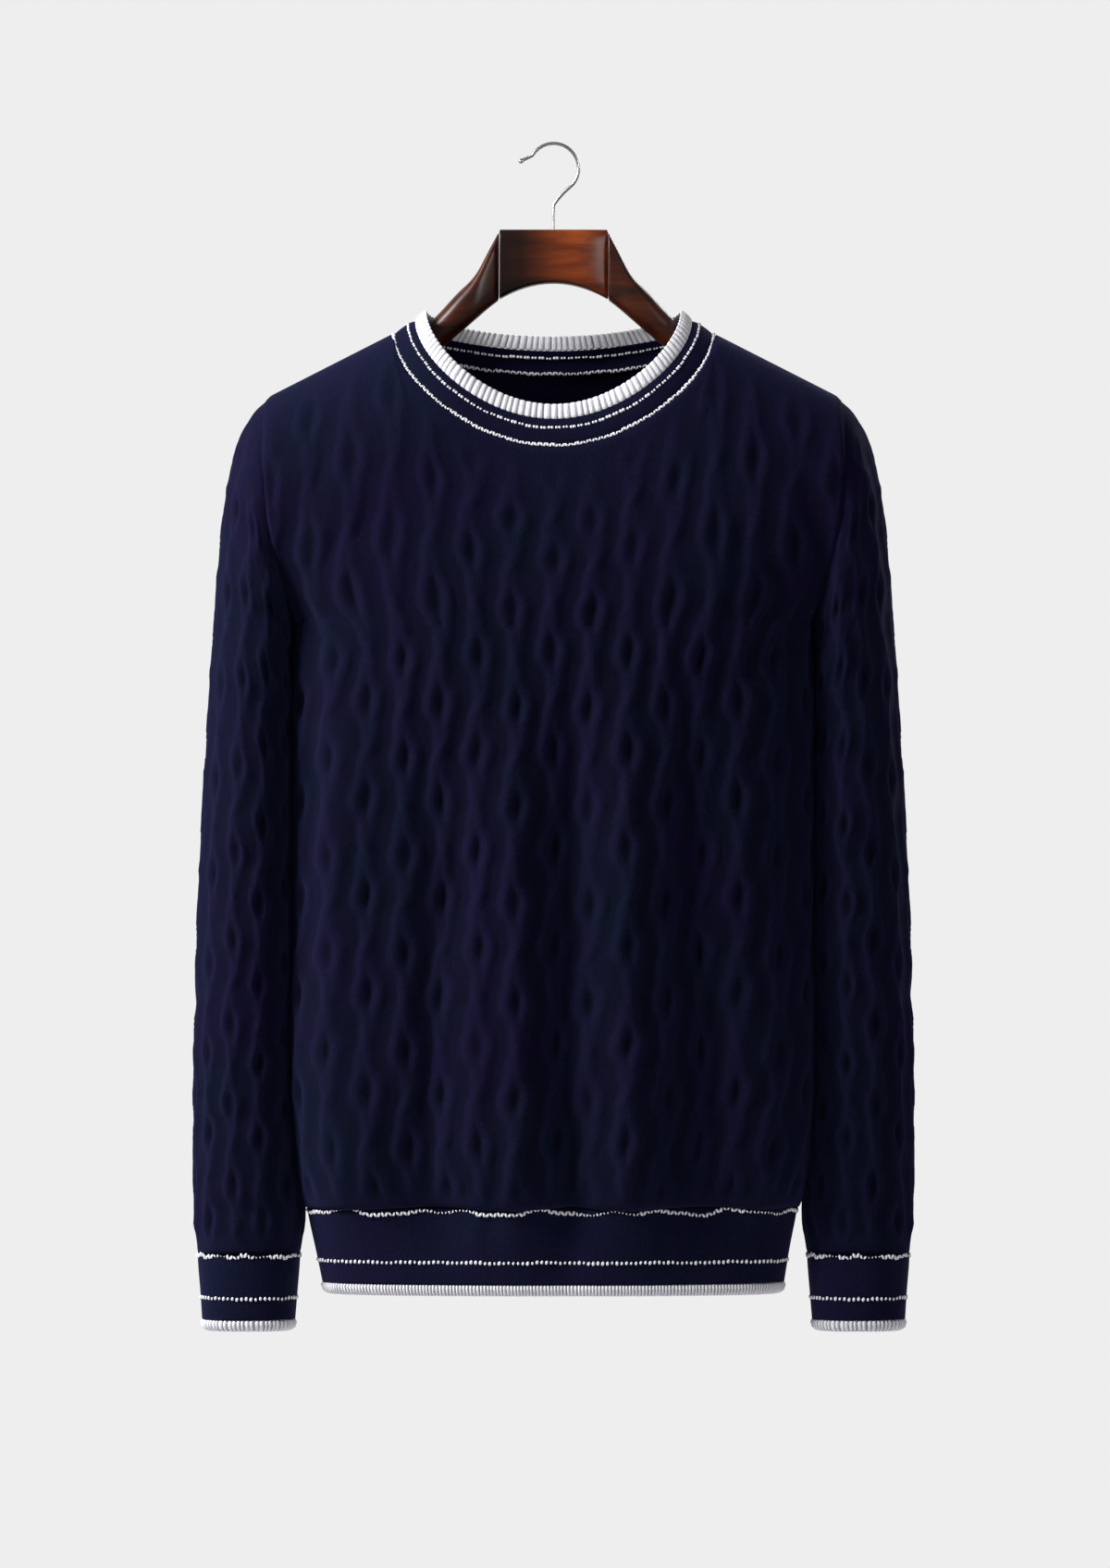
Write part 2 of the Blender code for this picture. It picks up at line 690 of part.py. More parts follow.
def make_hook(material):
    """The steel hook: a shaft out of the block, the round bend and a small ball at its end."""
    centre = Vector((0, 0, HOOK_CENTRE_Z))
    path = [(Vector((0, 0, BLOCK_TOP + SEAM)), 1), (Vector((0, 0, HOOK_SHAFT_TOP)), 1)]
    path.append((Vector((0.0014, 0, HOOK_SHAFT_TOP + 0.0034)), 1))
    bends = 18
    for n in range(bends + 1):
        turn = lerp(HOOK_START, HOOK_END, n / bends)
        path.append((centre + HOOK_RADIUS * Vector((math.cos(turn), 0, math.sin(turn))), 1))
    tip = Vector((HOOK_TIP_X, 0, HOOK_TIP_Z))
    into = (tip - path[-1][0]).normalized()
    ball = WIRE * BALL_SHARE
    path.append((tip - into * ball, 1))
    for angle in (40, 90, 140):
        along = -math.cos(math.radians(angle)) * ball
        path.append((tip + into * along, BALL_SHARE * math.sin(math.radians(angle))))
    path.append((tip + into * ball, 0.25))
    curve = bpy.data.curves.new("hanger_hook", "CURVE")
    curve.dimensions = "3D"
    curve.bevel_depth = WIRE
    curve.bevel_resolution = 2
    curve.use_fill_caps = True
    curve.materials.append(material)
    spline = curve.splines.new("POLY")
    spline.points.add(len(path) - 1)
    for point, (place, radius) in zip(spline.points, path):
        point.co = (*place, 1)
        point.radius = radius
    SWEATER.objects.link(bpy.data.objects.new("hanger_hook", curve))


# ---- the scene -----------------------------------------------------------------------


def clear_scene():
    for obj in list(bpy.data.objects):
        bpy.data.objects.remove(obj, do_unlink=True)


def make_material(name, colour, roughness, metallic=0.0):
    material = bpy.data.materials.new(name)
    material.use_nodes = True
    shader = material.node_tree.nodes["Principled BSDF"]
    shader.inputs["Base Color"].default_value = (*colour, 1)
    shader.inputs["Roughness"].default_value = roughness
    shader.inputs["Metallic"].default_value = metallic
    material.diffuse_color = (*colour, 1)
    return material


def main():
    navy = make_material("navy_knit", (0.010, 0.009, 0.040), 0.85)
    white = make_material("white_rib_knit", (0.72, 0.72, 0.74), 0.85)
    wood = make_material("lacquered_wood", (0.060, 0.014, 0.006), 0.25)
    steel = make_material("polished_steel", (0.60, 0.60, 0.62), 0.20, 1.0)

    front = make_panel("front_panel", -1, navy)
    back = make_panel("back_panel", 1, navy)
    for name, side in (("left", -1), ("right", 1)):
        make_sleeve(f"sleeve_{name}", side, front, back, navy)
        make_band(f"cuff_band_{name}", CUFF_BAND, side, CUFF_STEPS, WALL, navy)
        make_band(f"cuff_rib_{name}", CUFF_RIB, side, CUFF_STEPS, RIB_WALL, white)
        make_arm(f"hanger_arm_{name}", side, wood)
    make_band("hem_band", HEM_BAND, 1, HEM_STEPS, WALL, navy)
    make_band("hem_rib", HEM_RIB, 1, HEM_STEPS, RIB_WALL, white)
    make_neck(front, back, navy, white)
    make_block(wood)
    make_hook(steel)


clear_scene()
SWEATER = bpy.data.collections.new("cable_knit_sweater_on_hanger")
bpy.context.scene.collection.children.link(SWEATER)
main()
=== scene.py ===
"""Looks of a cable-knit crew-neck sweater with white tipping, hung on a lacquered wooden hanger.

Every cloth piece is a thin shell over its solid's form: a grid laid on a surface that is worked
out from the garment's own sizes, with the cables, ribs, seams and drape folds raised in it.
"""

import math
from collections import namedtuple

import bmesh
import bpy
import numpy as np
from mathutils import Matrix, Vector


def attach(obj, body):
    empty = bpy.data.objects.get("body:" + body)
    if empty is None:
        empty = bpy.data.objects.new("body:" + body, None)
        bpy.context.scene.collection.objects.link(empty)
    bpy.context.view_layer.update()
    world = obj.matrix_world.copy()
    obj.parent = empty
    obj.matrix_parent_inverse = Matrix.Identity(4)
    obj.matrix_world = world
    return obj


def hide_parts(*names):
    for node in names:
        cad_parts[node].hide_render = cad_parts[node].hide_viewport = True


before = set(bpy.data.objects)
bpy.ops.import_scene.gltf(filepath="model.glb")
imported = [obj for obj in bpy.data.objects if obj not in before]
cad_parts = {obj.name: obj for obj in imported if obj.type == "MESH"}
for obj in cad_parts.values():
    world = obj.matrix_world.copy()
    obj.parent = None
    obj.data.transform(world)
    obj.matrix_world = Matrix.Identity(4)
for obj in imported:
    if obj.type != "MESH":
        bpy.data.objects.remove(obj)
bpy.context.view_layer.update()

# ---- sizes of the garment, metres ----------------------------------------------------

WALL = 0.0024  # knitted cloth
RIB_WALL = 0.0034  # the doubled white edges
SEAM = 0.0003  # gap between two pieces
CABLE_RISE = 0.0026  # height of a cable's strands over its grooves
STRAND_WIDTH, CORD_LEAN = 0.128, 0.060  # shares of the cables' pitch
EYE_LENGTH, PIT = 0.160, 0.45  # a share of a turn, and the eye's extra depth
CABLE_PITCH = 0.0288  # between the upright cables of the yoke
CABLE_TURN = 0.35  # where along its twist a cable starts at the hem and the armhole

BODY_CABLES = 17  # across one panel
SLEEVE_CABLES = 12  # round one sleeve
PANEL_STEPS = 68  # panel columns that the neck corner is counted in
NECK_STEPS = 14  # of them, from the middle to the corner of the neck
LOW_ROWS, HIGH_ROWS = 12, 8  # half twists below the armpit, and rows above it
TOP_ROW = LOW_ROWS + HIGH_ROWS
HIGH_TWISTS = 2  # cable twists over the high rows
SLEEVE_ROWS = 20  # half twists from the armhole to the cuff

CHEST_Z = -0.4500  # the level that spaces the panel's columns
HEM_TOP = -0.7650  # where the body meets the hem band
ARMPIT_X, ARMPIT_Z = 0.1835, -0.3450
SHOULDER_X, SHOULDER_Z = 0.2070, -0.1835
ARMHOLE_DEPTH = 0.0600  # half of the armhole, front to back
ARMHOLE_BULGE = 0.0080  # how far its middle stands out from a straight line
NECK_X, NECK_Z = 0.1165, -0.1375  # the corner where neck and shoulder seams meet
NECK_DROP = {-1: 0.0830, 1: 0.0265}  # front and back
NECK_SQUARENESS = 0.57  # power of the cosine that draws the neck curve
SHOULDER_ROUND = 0.0900  # how far below the shoulder line its rounding reaches
YOKE_FOOT, YOKE_TOP = -0.400, -0.230  # between them the cables flatten, pulled by the shoulders
BACK_SHARE = 0.85  # depth of the back against that of the front

# Flat cuts (width, length) and their areas. A sleeve's is all round.
PANEL_CUT = (0.49, 0.64)
SLEEVE_CUT, SLEEVE_AREA = (0.36, 0.62), 0.155

# squareness is the power of the section's superellipse.
BodySection = namedtuple("BodySection", "z half_width half_depth squareness")
BODY = [
    BodySection(-0.7650, 0.1762, 0.0610, 2.4),
    BodySection(-0.7450, 0.1805, 0.0650, 2.4),
    BodySection(-0.7000, 0.1865, 0.0680, 2.4),
    BodySection(-0.5500, 0.1875, 0.0720, 2.5),
    BodySection(-0.4000, 0.1875, 0.0775, 3.0),
    BodySection(-0.3450, 0.1845, 0.0780, 3.4),
    BodySection(-0.3000, 0.1835, 0.0765, 3.4),
    BodySection(-0.2200, 0.1835, 0.0690, 3.0),
    BodySection(-0.1300, 0.1835, 0.0600, 2.6),
]

SleeveRing = namedtuple("SleeveRing", "row outer_x outer_z inner_x inner_z half_depth")
SLEEVE = [
    SleeveRing(0, 0.2070, -0.1835, 0.1835, -0.3450, 0.0600),
    SleeveRing(1, 0.2175, -0.1950, 0.1845, -0.3540, 0.0615),
    SleeveRing(2, 0.2262, -0.2130, 0.1850, -0.3660, 0.0630),
    SleeveRing(4, 0.2370, -0.2660, 0.1850, -0.4000, 0.0640),
    SleeveRing(6, 0.2430, -0.3330, 0.1850, -0.4400, 0.0620),
    SleeveRing(9, 0.2500, -0.4400, 0.1845, -0.5100, 0.0570),
    SleeveRing(12, 0.2555, -0.5450, 0.1845, -0.5850, 0.0500),
    SleeveRing(15, 0.2585, -0.6450, 0.1845, -0.6620, 0.0440),
    SleeveRing(18, 0.2590, -0.7350, 0.1815, -0.7400, 0.0385),
    SleeveRing(19, 0.2583, -0.7680, 0.1792, -0.7700, 0.0365),
    SleeveRing(20, 0.2572, -0.8000, 0.1828, -0.8000, 0.0324),
]

# Where the body's side and a sleeve press together, half way between them.
Contact = namedtuple("Contact", "z x")
CONTACT = [
    Contact(-0.7900, 0.1790),
    Contact(-0.7700, 0.1785),
    Contact(-0.7350, 0.1830),
    Contact(-0.6970, 0.1862),
    Contact(-0.4300, 0.1864),
    Contact(-0.3900, 0.1866),
    Contact(-0.3450, 0.1845),
]

NeckLoop = namedtuple("NeckLoop", "half_width side_z front_z back_z front_share back_share")
NECK_BAND_TOP = NeckLoop(0.1000, -0.1262, -0.2005, -0.1460, 0.94, 0.98)
NECK_RIB_TOP = NeckLoop(0.0915, -0.1190, -0.1893, -0.1352, 0.88, 0.98)

BandRing = namedtuple("BandRing", "z centre_x half_width half_depth")
HEM_BAND = [
    BandRing(-0.7653, 0.0, 0.1760, 0.0608),
    BandRing(-0.7720, 0.0, 0.1750, 0.0595),
    BandRing(-0.7950, 0.0, 0.1705, 0.0580),
    BandRing(-0.8200, 0.0, 0.1665, 0.0570),
]
HEM_RIB = [
    BandRing(-0.8203, 0.0, 0.1668, 0.0573),
    BandRing(-0.8285, 0.0, 0.1662, 0.0568),
]
CUFF_BAND = [
    BandRing(-0.8003, 0.2200, 0.0371, 0.0322),
    BandRing(-0.8080, 0.2200, 0.0367, 0.0318),
    BandRing(-0.8290, 0.2200, 0.0350, 0.0303),
    BandRing(-0.8470, 0.2202, 0.0337, 0.0290),
]
CUFF_RIB = [
    BandRing(-0.8473, 0.2202, 0.0340, 0.0293),
    BandRing(-0.8555, 0.2202, 0.0337, 0.0290),
]

# Drape folds, as lines from a top to a bottom point. rise is the ridge's height, and a
# negative one is a trough.
Fold = namedtuple("Fold", "top_x top_z bottom_x bottom_z width rise")
FRONT_FOLDS = [
    Fold(0.008, -0.400, 0.012, -0.800, 0.019, -0.0100),
    Fold(0.050, -0.380, 0.056, -0.800, 0.022, 0.0058),
    Fold(0.100, -0.400, 0.110, -0.800, 0.020, -0.0085),
    Fold(0.147, -0.400, 0.152, -0.790, 0.016, 0.0048),
    Fold(-0.022, -0.420, -0.027, -0.800, 0.018, 0.0050),
    Fold(-0.080, -0.440, -0.090, -0.800, 0.024, -0.0092),
    Fold(-0.153, -0.380, -0.157, -0.790, 0.020, 0.0070),
    Fold(-0.050, -0.620, -0.056, -0.800, 0.009, 0.0014),
    Fold(0.084, -0.640, 0.080, -0.800, 0.008, -0.0014),
    Fold(-0.189, -0.322, -0.128, -0.268, 0.012, -0.0016),
    Fold(-0.187, -0.350, -0.105, -0.372, 0.011, -0.0022),
    Fold(-0.188, -0.300, -0.164, -0.220, 0.009, -0.0018),
    Fold(0.188, -0.330, 0.130, -0.280, 0.012, -0.0016),
    Fold(0.187, -0.352, 0.112, -0.392, 0.011, -0.0020),
    Fold(0.190, -0.300, 0.172, -0.222, 0.009, -0.0018),
]
BACK_FOLDS = [
    Fold(0.010, -0.430, 0.004, -0.790, 0.014, -0.0036),
    Fold(0.060, -0.380, 0.066, -0.785, 0.013, 0.0024),
    Fold(-0.058, -0.410, -0.052, -0.785, 0.013, 0.0024),
    Fold(-0.098, -0.500, -0.106, -0.780, 0.015, -0.0036),
    Fold(0.110, -0.470, 0.114, -0.785, 0.014, -0.0032),
    Fold(0.150, -0.520, 0.148, -0.770, 0.010, 0.0016),
    Fold(-0.187, -0.346, -0.110, -0.378, 0.009, -0.0024),
    Fold(0.187, -0.340, 0.104, -0.360, 0.009, -0.0026),
    Fold(-0.188, -0.310, -0.135, -0.250, 0.008, -0.0022),
    Fold(0.189, -0.308, 0.140, -0.240, 0.008, -0.0020),
]
# On a sleeve the folds run across: turn is the angle from under the arm over the front.
SleeveFold = namedtuple("SleeveFold", "turn_a z_a turn_b z_b width rise")
SLEEVE_FOLDS = [
    SleeveFold(0.2, -0.385, 1.5, -0.330, 0.010, -0.0026),
    SleeveFold(0.3, -0.430, 1.9, -0.395, 0.011, -0.0022),
    SleeveFold(0.4, -0.530, 2.2, -0.505, 0.012, -0.0024),
    SleeveFold(0.6, -0.575, 2.3, -0.560, 0.009, 0.0018),
    SleeveFold(2.4, -0.600, 4.2, -0.640, 0.012, -0.0020),
    SleeveFold(1.0, -0.690, 2.8, -0.715, 0.010, -0.0020),
    SleeveFold(0.8, -0.765, 2.6, -0.775, 0.008, -0.0022),
    SleeveFold(4.3, -0.400, 5.9, -0.440, 0.011, -0.0024),
    SleeveFold(4.0, -0.520, 5.8, -0.545, 0.012, -0.0022),
    SleeveFold(3.8, -0.740, 5.6, -0.720, 0.010, -0.0020),
]

# ---- the hanger ----------------------------------------------------------------------

BLOCK_HALF_WIDTH = 0.0392
BLOCK_TOP = -0.0611
BLOCK_FOOT = -0.1115
ARCH_TOP = -0.1000
BLOCK_HALF_DEPTH = 0.01176
EDGE = 0.0009  # rounding of the wooden ends
CROWN = 0.0062  # how far the boards round away beside the two creases
BOARD_SIDES = 40
BOARD_CUT, WIRE_CUT = (0.1, 0.1), (0.01, 0.12)  # their UV sizes, which no pattern needs

ArmSection = namedtuple("ArmSection", "x top bottom half_depth")
ARM = [
    ArmSection(0.0395, -0.0625, -0.1120, 0.0110),
    ArmSection(0.0460, -0.0745, -0.1170, 0.0118),
    ArmSection(0.0560, -0.0930, -0.1255, 0.0135),
    ArmSection(0.0700, -0.1075, -0.1375, 0.0140),
    ArmSection(0.0880, -0.1265, -0.1520, 0.0125),
    ArmSection(0.1100, -0.1425, -0.1660, 0.0130),
    ArmSection(0.1300, -0.1525, -0.1770, 0.0160),
    ArmSection(0.1500, -0.1600, -0.1880, 0.0185),
    ArmSection(0.1720, -0.1702, -0.2010, 0.0185),
    ArmSection(0.1850, -0.1780, -0.2040, 0.0150),
    ArmSection(0.1900, -0.1860, -0.2000, 0.0080),
]

WIRE = 0.00125
HOOK_RADIUS = 0.0180
HOOK_CENTRE_Z = WIRE - HOOK_RADIUS
HOOK_START, HOOK_END = math.radians(-40), math.radians(149)
HOOK_SHAFT_TOP = -0.0440
HOOK_TIP_X, HOOK_TIP_Z = -0.0235, -0.0114
BALL_SHARE = 1.5  # the end ball's radius against the wire's

# ---- helpers for numbers -------------------------------------------------------------


def lerp(a, b, share):
    return a + (b - a) * share


def read(table, key, name, at):
    """The table's column `name` where its column `key` is `at`, along a smooth curve."""
    rows = sorted(table, key=lambda row: getattr(row, key))
    keys = np.array([getattr(row, key) for row in rows])
    values = np.array([getattr(row, name) for row in rows])
    slopes = np.diff(values) / np.diff(keys)
    bends = np.concatenate([slopes[:1], (slopes[:-1] + slopes[1:]) / 2, slopes[-1:]])
    at = np.clip(at, keys[0], keys[-1])
    i = np.clip(np.searchsorted(keys, at, side="right") - 1, 0, len(keys) - 2)
    span = keys[i + 1] - keys[i]
    t = (at - keys[i]) / span
    return (
        (2 * t**3 - 3 * t**2 + 1) * values[i]
        + (t**3 - 2 * t**2 + t) * span * bends[i]
        + (3 * t**2 - 2 * t**3) * values[i + 1]
        + (t**3 - t**2) * span * bends[i + 1]
    )


def soft_step(x, start, end):
    share = np.clip((x - start) / (end - start), 0, 1)
    return share * share * (3 - 2 * share)


def rounded(share, power):
    """A superellipse's height, 1 in the middle and 0 at share 1."""
    return np.maximum(0, 1 - np.minimum(np.abs(share), 1) ** power) ** (1 / power)


def signed_power(values, power):
    return np.sign(values) * np.abs(values) ** power


def points(*columns):
    return np.stack(np.broadcast_arrays(*columns), axis=-1).astype(float)


def lengths_along(curve):
    """Length from a curve's first point to each of its points."""
    steps = np.linalg.norm(np.diff(curve, axis=0), axis=1)
    return np.concatenate([[0], np.cumsum(steps)])


def along(curve):
    """The same as a share of the whole length."""
    lengths = lengths_along(curve)
    return lengths / lengths[-1]


def curve_at(wanted, places, curve):
    """Points of a curve where its own points lie at `places` along it."""
    return points(*(np.interp(wanted, places, curve[:, axis]) for axis in range(3)))


def unit(vectors):
    return vectors / np.maximum(np.linalg.norm(vectors, axis=-1, keepdims=True), 1e-12)


def ease_rows(grid, times):
    """Averages each row of points with its neighbours, leaving the first and last row."""
    for _ in range(times):
        grid = np.concatenate([grid[:1], (grid[:-2] + 2 * grid[1:-1] + grid[2:]) / 4, grid[-1:]])
    return grid


def normals_of(grid, closed):
    """Unit normals of a grid of points: across its columns, then along its rows."""
    if closed:
        around = np.concatenate([grid[:, -2:-1], grid, grid[:, 1:2]], axis=1)
        across = around[:, 2:] - around[:, :-2]
    else:
        across = np.gradient(grid, axis=1)
    return unit(np.cross(across, np.gradient(grid, axis=0)))


# ---- helpers for meshes --------------------------------------------------------------


def add_object(name, mesh, material):
    """A bmesh as a named object that rides on the part's one body."""
    data = bpy.data.meshes.new(name)
    mesh.to_mesh(data)
    mesh.free()
    data.shade_smooth()
    data.materials.append(material)
    obj = bpy.data.objects.new(name, data)
    bpy.context.scene.collection.objects.link(obj)
    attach(obj, "root")
    return obj


def lay_grid(grid, cut, painted_shade=None, closed=True):
    """A sheet of quads laid on a grid of points, with UVs in metres of the flat cut.

    The third argument is 1 where the knit lies deep in a groove and 0 on its crests. It sets
    the painted shade that darkens the knit's colour there. On a closed sheet, such as a tube,
    the points that coincide are merged.
    """
    rows, columns = grid.shape[0] - 1, grid.shape[1] - 1
    flat = bmesh.new()
    flat.loops.layers.uv.new("cut")
    bmesh.ops.create_grid(flat, x_segments=columns, y_segments=rows, size=0.5, calc_uvs=True)
    data = bpy.data.meshes.new("grid")
    flat.to_mesh(data)
    flat.free()
    places = np.empty(len(data.vertices) * 3)
    data.vertices.foreach_get("co", places)
    places = places.reshape(-1, 3) + 0.5
    column = np.rint(places[:, 0] * columns).astype(int)
    row = np.rint(places[:, 1] * rows).astype(int)
    data.vertices.foreach_set("co", grid[row, column].ravel())
    if painted_shade is not None:
        depths = np.broadcast_to(painted_shade, grid.shape[:2])[row, column].astype(np.float32)
        data.attributes.new("painted_shade", "FLOAT", "POINT").data.foreach_set("value", depths)
    layer = data.uv_layers["cut"].uv
    shares = np.empty(len(layer) * 2)
    layer.foreach_get("vector", shares)
    layer.foreach_set("vector", (shares.reshape(-1, 2) * np.array(cut)).ravel())
    mesh = bmesh.new()
    mesh.from_mesh(data)
    bpy.data.meshes.remove(data)
    if closed:
        bmesh.ops.remove_doubles(mesh, verts=mesh.verts, dist=1e-6)
    return mesh


def stand_for(piece, solid):
    """The piece takes the place of a solid of the frame."""
    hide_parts(solid)
    return piece


def finish_cloth(name, mesh, outwards, material):
    """An open sheet as a navy cloth piece, its wall going inwards.

    outwards is the way that its first face looks.
    """
    mesh.faces.ensure_lookup_table()
    mesh.normal_update()
    if mesh.faces[0].normal.dot(Vector(outwards)) < 0:
        bmesh.ops.reverse_faces(mesh, faces=mesh.faces)
    piece = add_object(name, mesh, material)
    wall = piece.modifiers.new("wall", "SOLIDIFY")
    wall.thickness = WALL
    wall.offset = -1
    wall.use_even_offset = False
    return stand_for(piece, name)


def finish_closed(name, mesh, material):
    """A closed form as a piece in place of the solid of its name."""
    bmesh.ops.recalc_face_normals(mesh, faces=mesh.faces)
    return stand_for(add_object(name, mesh, material), name)


# ---- the body's surface --------------------------------------------------------------


def panel_shares(k):
    """Share of the half-width at panel column k, at even steps round the body."""
    half_width = read(BODY, "z", "half_width", CHEST_Z)
    half_depth = read(BODY, "z", "half_depth", CHEST_Z)
    power = 2 / read(BODY, "z", "squareness", CHEST_Z)
    turn = np.linspace(0, math.pi, 801)
    across = -signed_power(np.cos(turn), power)
    curve = points(half_width * across, half_depth * np.sin(turn).clip(0) ** power)
    return np.interp((k + PANEL_STEPS / 2) / PANEL_STEPS, along(curve), across)


def shoulder_line(x):
    slope = (SHOULDER_Z - NECK_Z) / (SHOULDER_X - NECK_X)
    return NECK_Z + slope * (np.abs(x) - NECK_X)


def top_edge(k, drop):
    """(x, z) of a panel's top edge at column k: the neck curve, then the shoulder line."""
    share = np.linspace(-1, 1, 801)
    fall = np.cos(share * math.pi / 2).clip(0) ** NECK_SQUARENESS
    curve = points(share * NECK_X, NECK_Z - drop * fall)
    place = np.clip((k / NECK_STEPS + 1) / 2, 0, 1)
    neck_x = np.interp(place, along(curve), curve[:, 0])
    neck_z = np.interp(place, along(curve), curve[:, 1])
    out = np.clip((np.abs(k) - NECK_STEPS) / (PANEL_STEPS / 2 - NECK_STEPS), 0, 1)
    x = np.where(out > 0, np.sign(k) * lerp(NECK_X, SHOULDER_X, out), neck_x)
    return x, np.where(out > 0, shoulder_line(x), neck_z)


def armhole_turn(row):
    """Angle along the armhole: 0 up to the armpit, pi at the shoulder."""
    return math.pi * np.clip(row - LOW_ROWS, 0, HIGH_ROWS) / HIGH_ROWS


def body_points(facing, k, row):
    """The smooth surface of the front (facing -1) or back (1) at column k and row."""
    k, row = np.broadcast_arrays(np.asarray(k, float), np.asarray(row, float))
    share = panel_shares(k)
    edge_x, edge_z = top_edge(k, NECK_DROP[facing])
    side_share = 1.0 if facing < 0 else BACK_SHARE
    turn = armhole_turn(row)
    rise = (1 - np.cos(turn)) / 2
    armhole_x = lerp(ARMPIT_X, SHOULDER_X, rise) + ARMHOLE_BULGE * np.sin(turn) ** 2
    low = row <= LOW_ROWS
    z = np.where(low, lerp(HEM_TOP, ARMPIT_Z, row / LOW_ROWS), lerp(ARMPIT_Z, edge_z, rise))
    low_x = share * read(BODY, "z", "half_width", z)
    x = np.where(low, low_x, lerp(share * armhole_x, edge_x, rise**2))
    form = rounded(share, read(BODY, "z", "squareness", z))
    form = lerp(form, 1 - share**4, np.sin(turn))
    below = np.clip((shoulder_line(x) - z) / SHOULDER_ROUND, 0, 1)
    middle = read(BODY, "z", "half_depth", z) * side_share
    middle = middle * np.where(low, 1, np.sqrt(1 - (1 - below) ** 2))
    side = ARMHOLE_DEPTH * np.sin(turn)
    depth = side + (middle - side) * form
    return points(x, facing * (SEAM / 2 + depth.clip(0)), z)


# ---- knitted relief ------------------------------------------------------------------


def cable_height(across, twist):
    """Height share of chain cables: across counts cables, twist counts their turns.

    Two strands part round a short eye, then cross in a cord, one over the other, up to the
    next eye. Neighbouring cables are half a turn apart, with a soft groove between them.
    """
    wander = 0.035 * np.sin(2.1 * twist + 1.7 * across) + 0.025 * np.sin(5.3 * twist - 0.8 * across)
    cable = np.floor(across)
    place = across - cable - 0.5 + wander
    turn = twist + 0.5 * (cable % 2) + 0.05 * np.sin(3.7 * cable)
    from_eye = turn - np.round(turn)
    eye = np.exp(-(np.abs(from_eye / EYE_LENGTH) ** 3))
    swing = np.cos(math.pi * turn)
    place = place + CORD_LEAN * np.sin(2 * math.pi * from_eye) * (1 - eye) ** 2
    place = place - 0.20 * from_eye * eye
    reach = 0.105 * np.tanh(4 * swing) + 0.185 * np.sign(swing) * eye
    crossing = 1 - np.abs(swing)
    pit = PIT * (0.80 + 0.32 * np.sin(2.3 * cable + 1.9 * np.round(turn)))
    height = 0.12 - pit * np.exp(-((place / 0.130) ** 2) - (from_eye / 0.125) ** 2)
    for side, drop in ((1, 0.0), (-1, 0.45)):
        strand = np.exp(-(((place - side * reach) / STRAND_WIDTH) ** 2))
        height = height + strand * (0.86 - drop * crossing)
    return height


def painted_shade_share(height, fade):
    """How deep the knit lies between its cables, 0 on a cord and 1 down in an eye: the share of painted
    shade that darkens the knit's colour there.
    """
    return fade * np.clip((0.60 - height) / 0.90, 0, 1) ** 1.5


def uneven(a, b):
    """A slow, soft variation between about 0.8 and 1.15, the same on each run."""
    wave = np.sin(1.3 * a + 0.7 * b) + np.sin(0.9 * b - 1.9 * a + 1.0) + np.sin(2.3 * b + 0.5 * a)
    return 0.98 + 0.06 * wave


def fold_height(x, z, folds):
    """Height of all drape folds at points of a panel."""
    total = np.zeros_like(x)
    for n, fold in enumerate(folds):
        start = np.array([fold.top_x, fold.top_z])
        end = np.array([fold.bottom_x, fold.bottom_z])
        length = np.linalg.norm(end - start)
        direction = (end - start) / length
        run = (x - start[0]) * direction[0] + (z - start[1]) * direction[1]
        off = (x - start[0]) * direction[1] - (z - start[1]) * direction[0]
        share = run / length
        off = off + fold.width * (0.12 * np.sin(9 * share + n) + 0.10 * np.sin(17 * share + 2 * n))
        reach = soft_step(share, -0.15, 0.35) * (1 - soft_step(share, 0.85, 1.12))
        width = fold.width * (1 + 0.25 * np.sin(5 * share + 1.7 * n))
        total += fold.rise * reach * np.exp(-((off / width) ** 2))
    return total


def press(grid, inside):
    """Flattens the body (inside) or a sleeve where they lie against each other, a hair apart.

    The line between them winds a little, as soft cloth's does.
    """
    x, y, z = grid[..., 0], grid[..., 1], grid[..., 2]
    line = read(CONTACT, "z", "x", z) + 0.0009 * np.sin(y / 0.0032 + 12 * z)
    low = z < CONTACT[-1].z
    if inside:
        pressed = np.minimum(np.abs(x), line - 0.0003)
    else:
        pressed = np.maximum(np.abs(x), line + 0.0003)
    grid[..., 0] = np.where(low, np.sign(x) * pressed, x)
    return grid


def seam_dip(distance, depth=0.0013, width=0.0035):
    """The cloth rolls in towards a seam."""
    return -depth * np.exp(-((distance / width) ** 2))


# ---- the cloth pieces ----------------------------------------------------------------

PANEL_COLUMNS = BODY_CABLES * 14
PANEL_LOW, PANEL_HIGH = 118, 72
SLEEVE_COLUMNS = SLEEVE_CABLES * 12
SLEEVE_FINE_ROWS = 176
SLEEVE_STEP = 0.012  # length of a sleeve's row at the armhole
CUFF_STEP = 0.033  # and at the cuff
SIDE_STEP = 0.0069  # width of a panel's column at the side seam


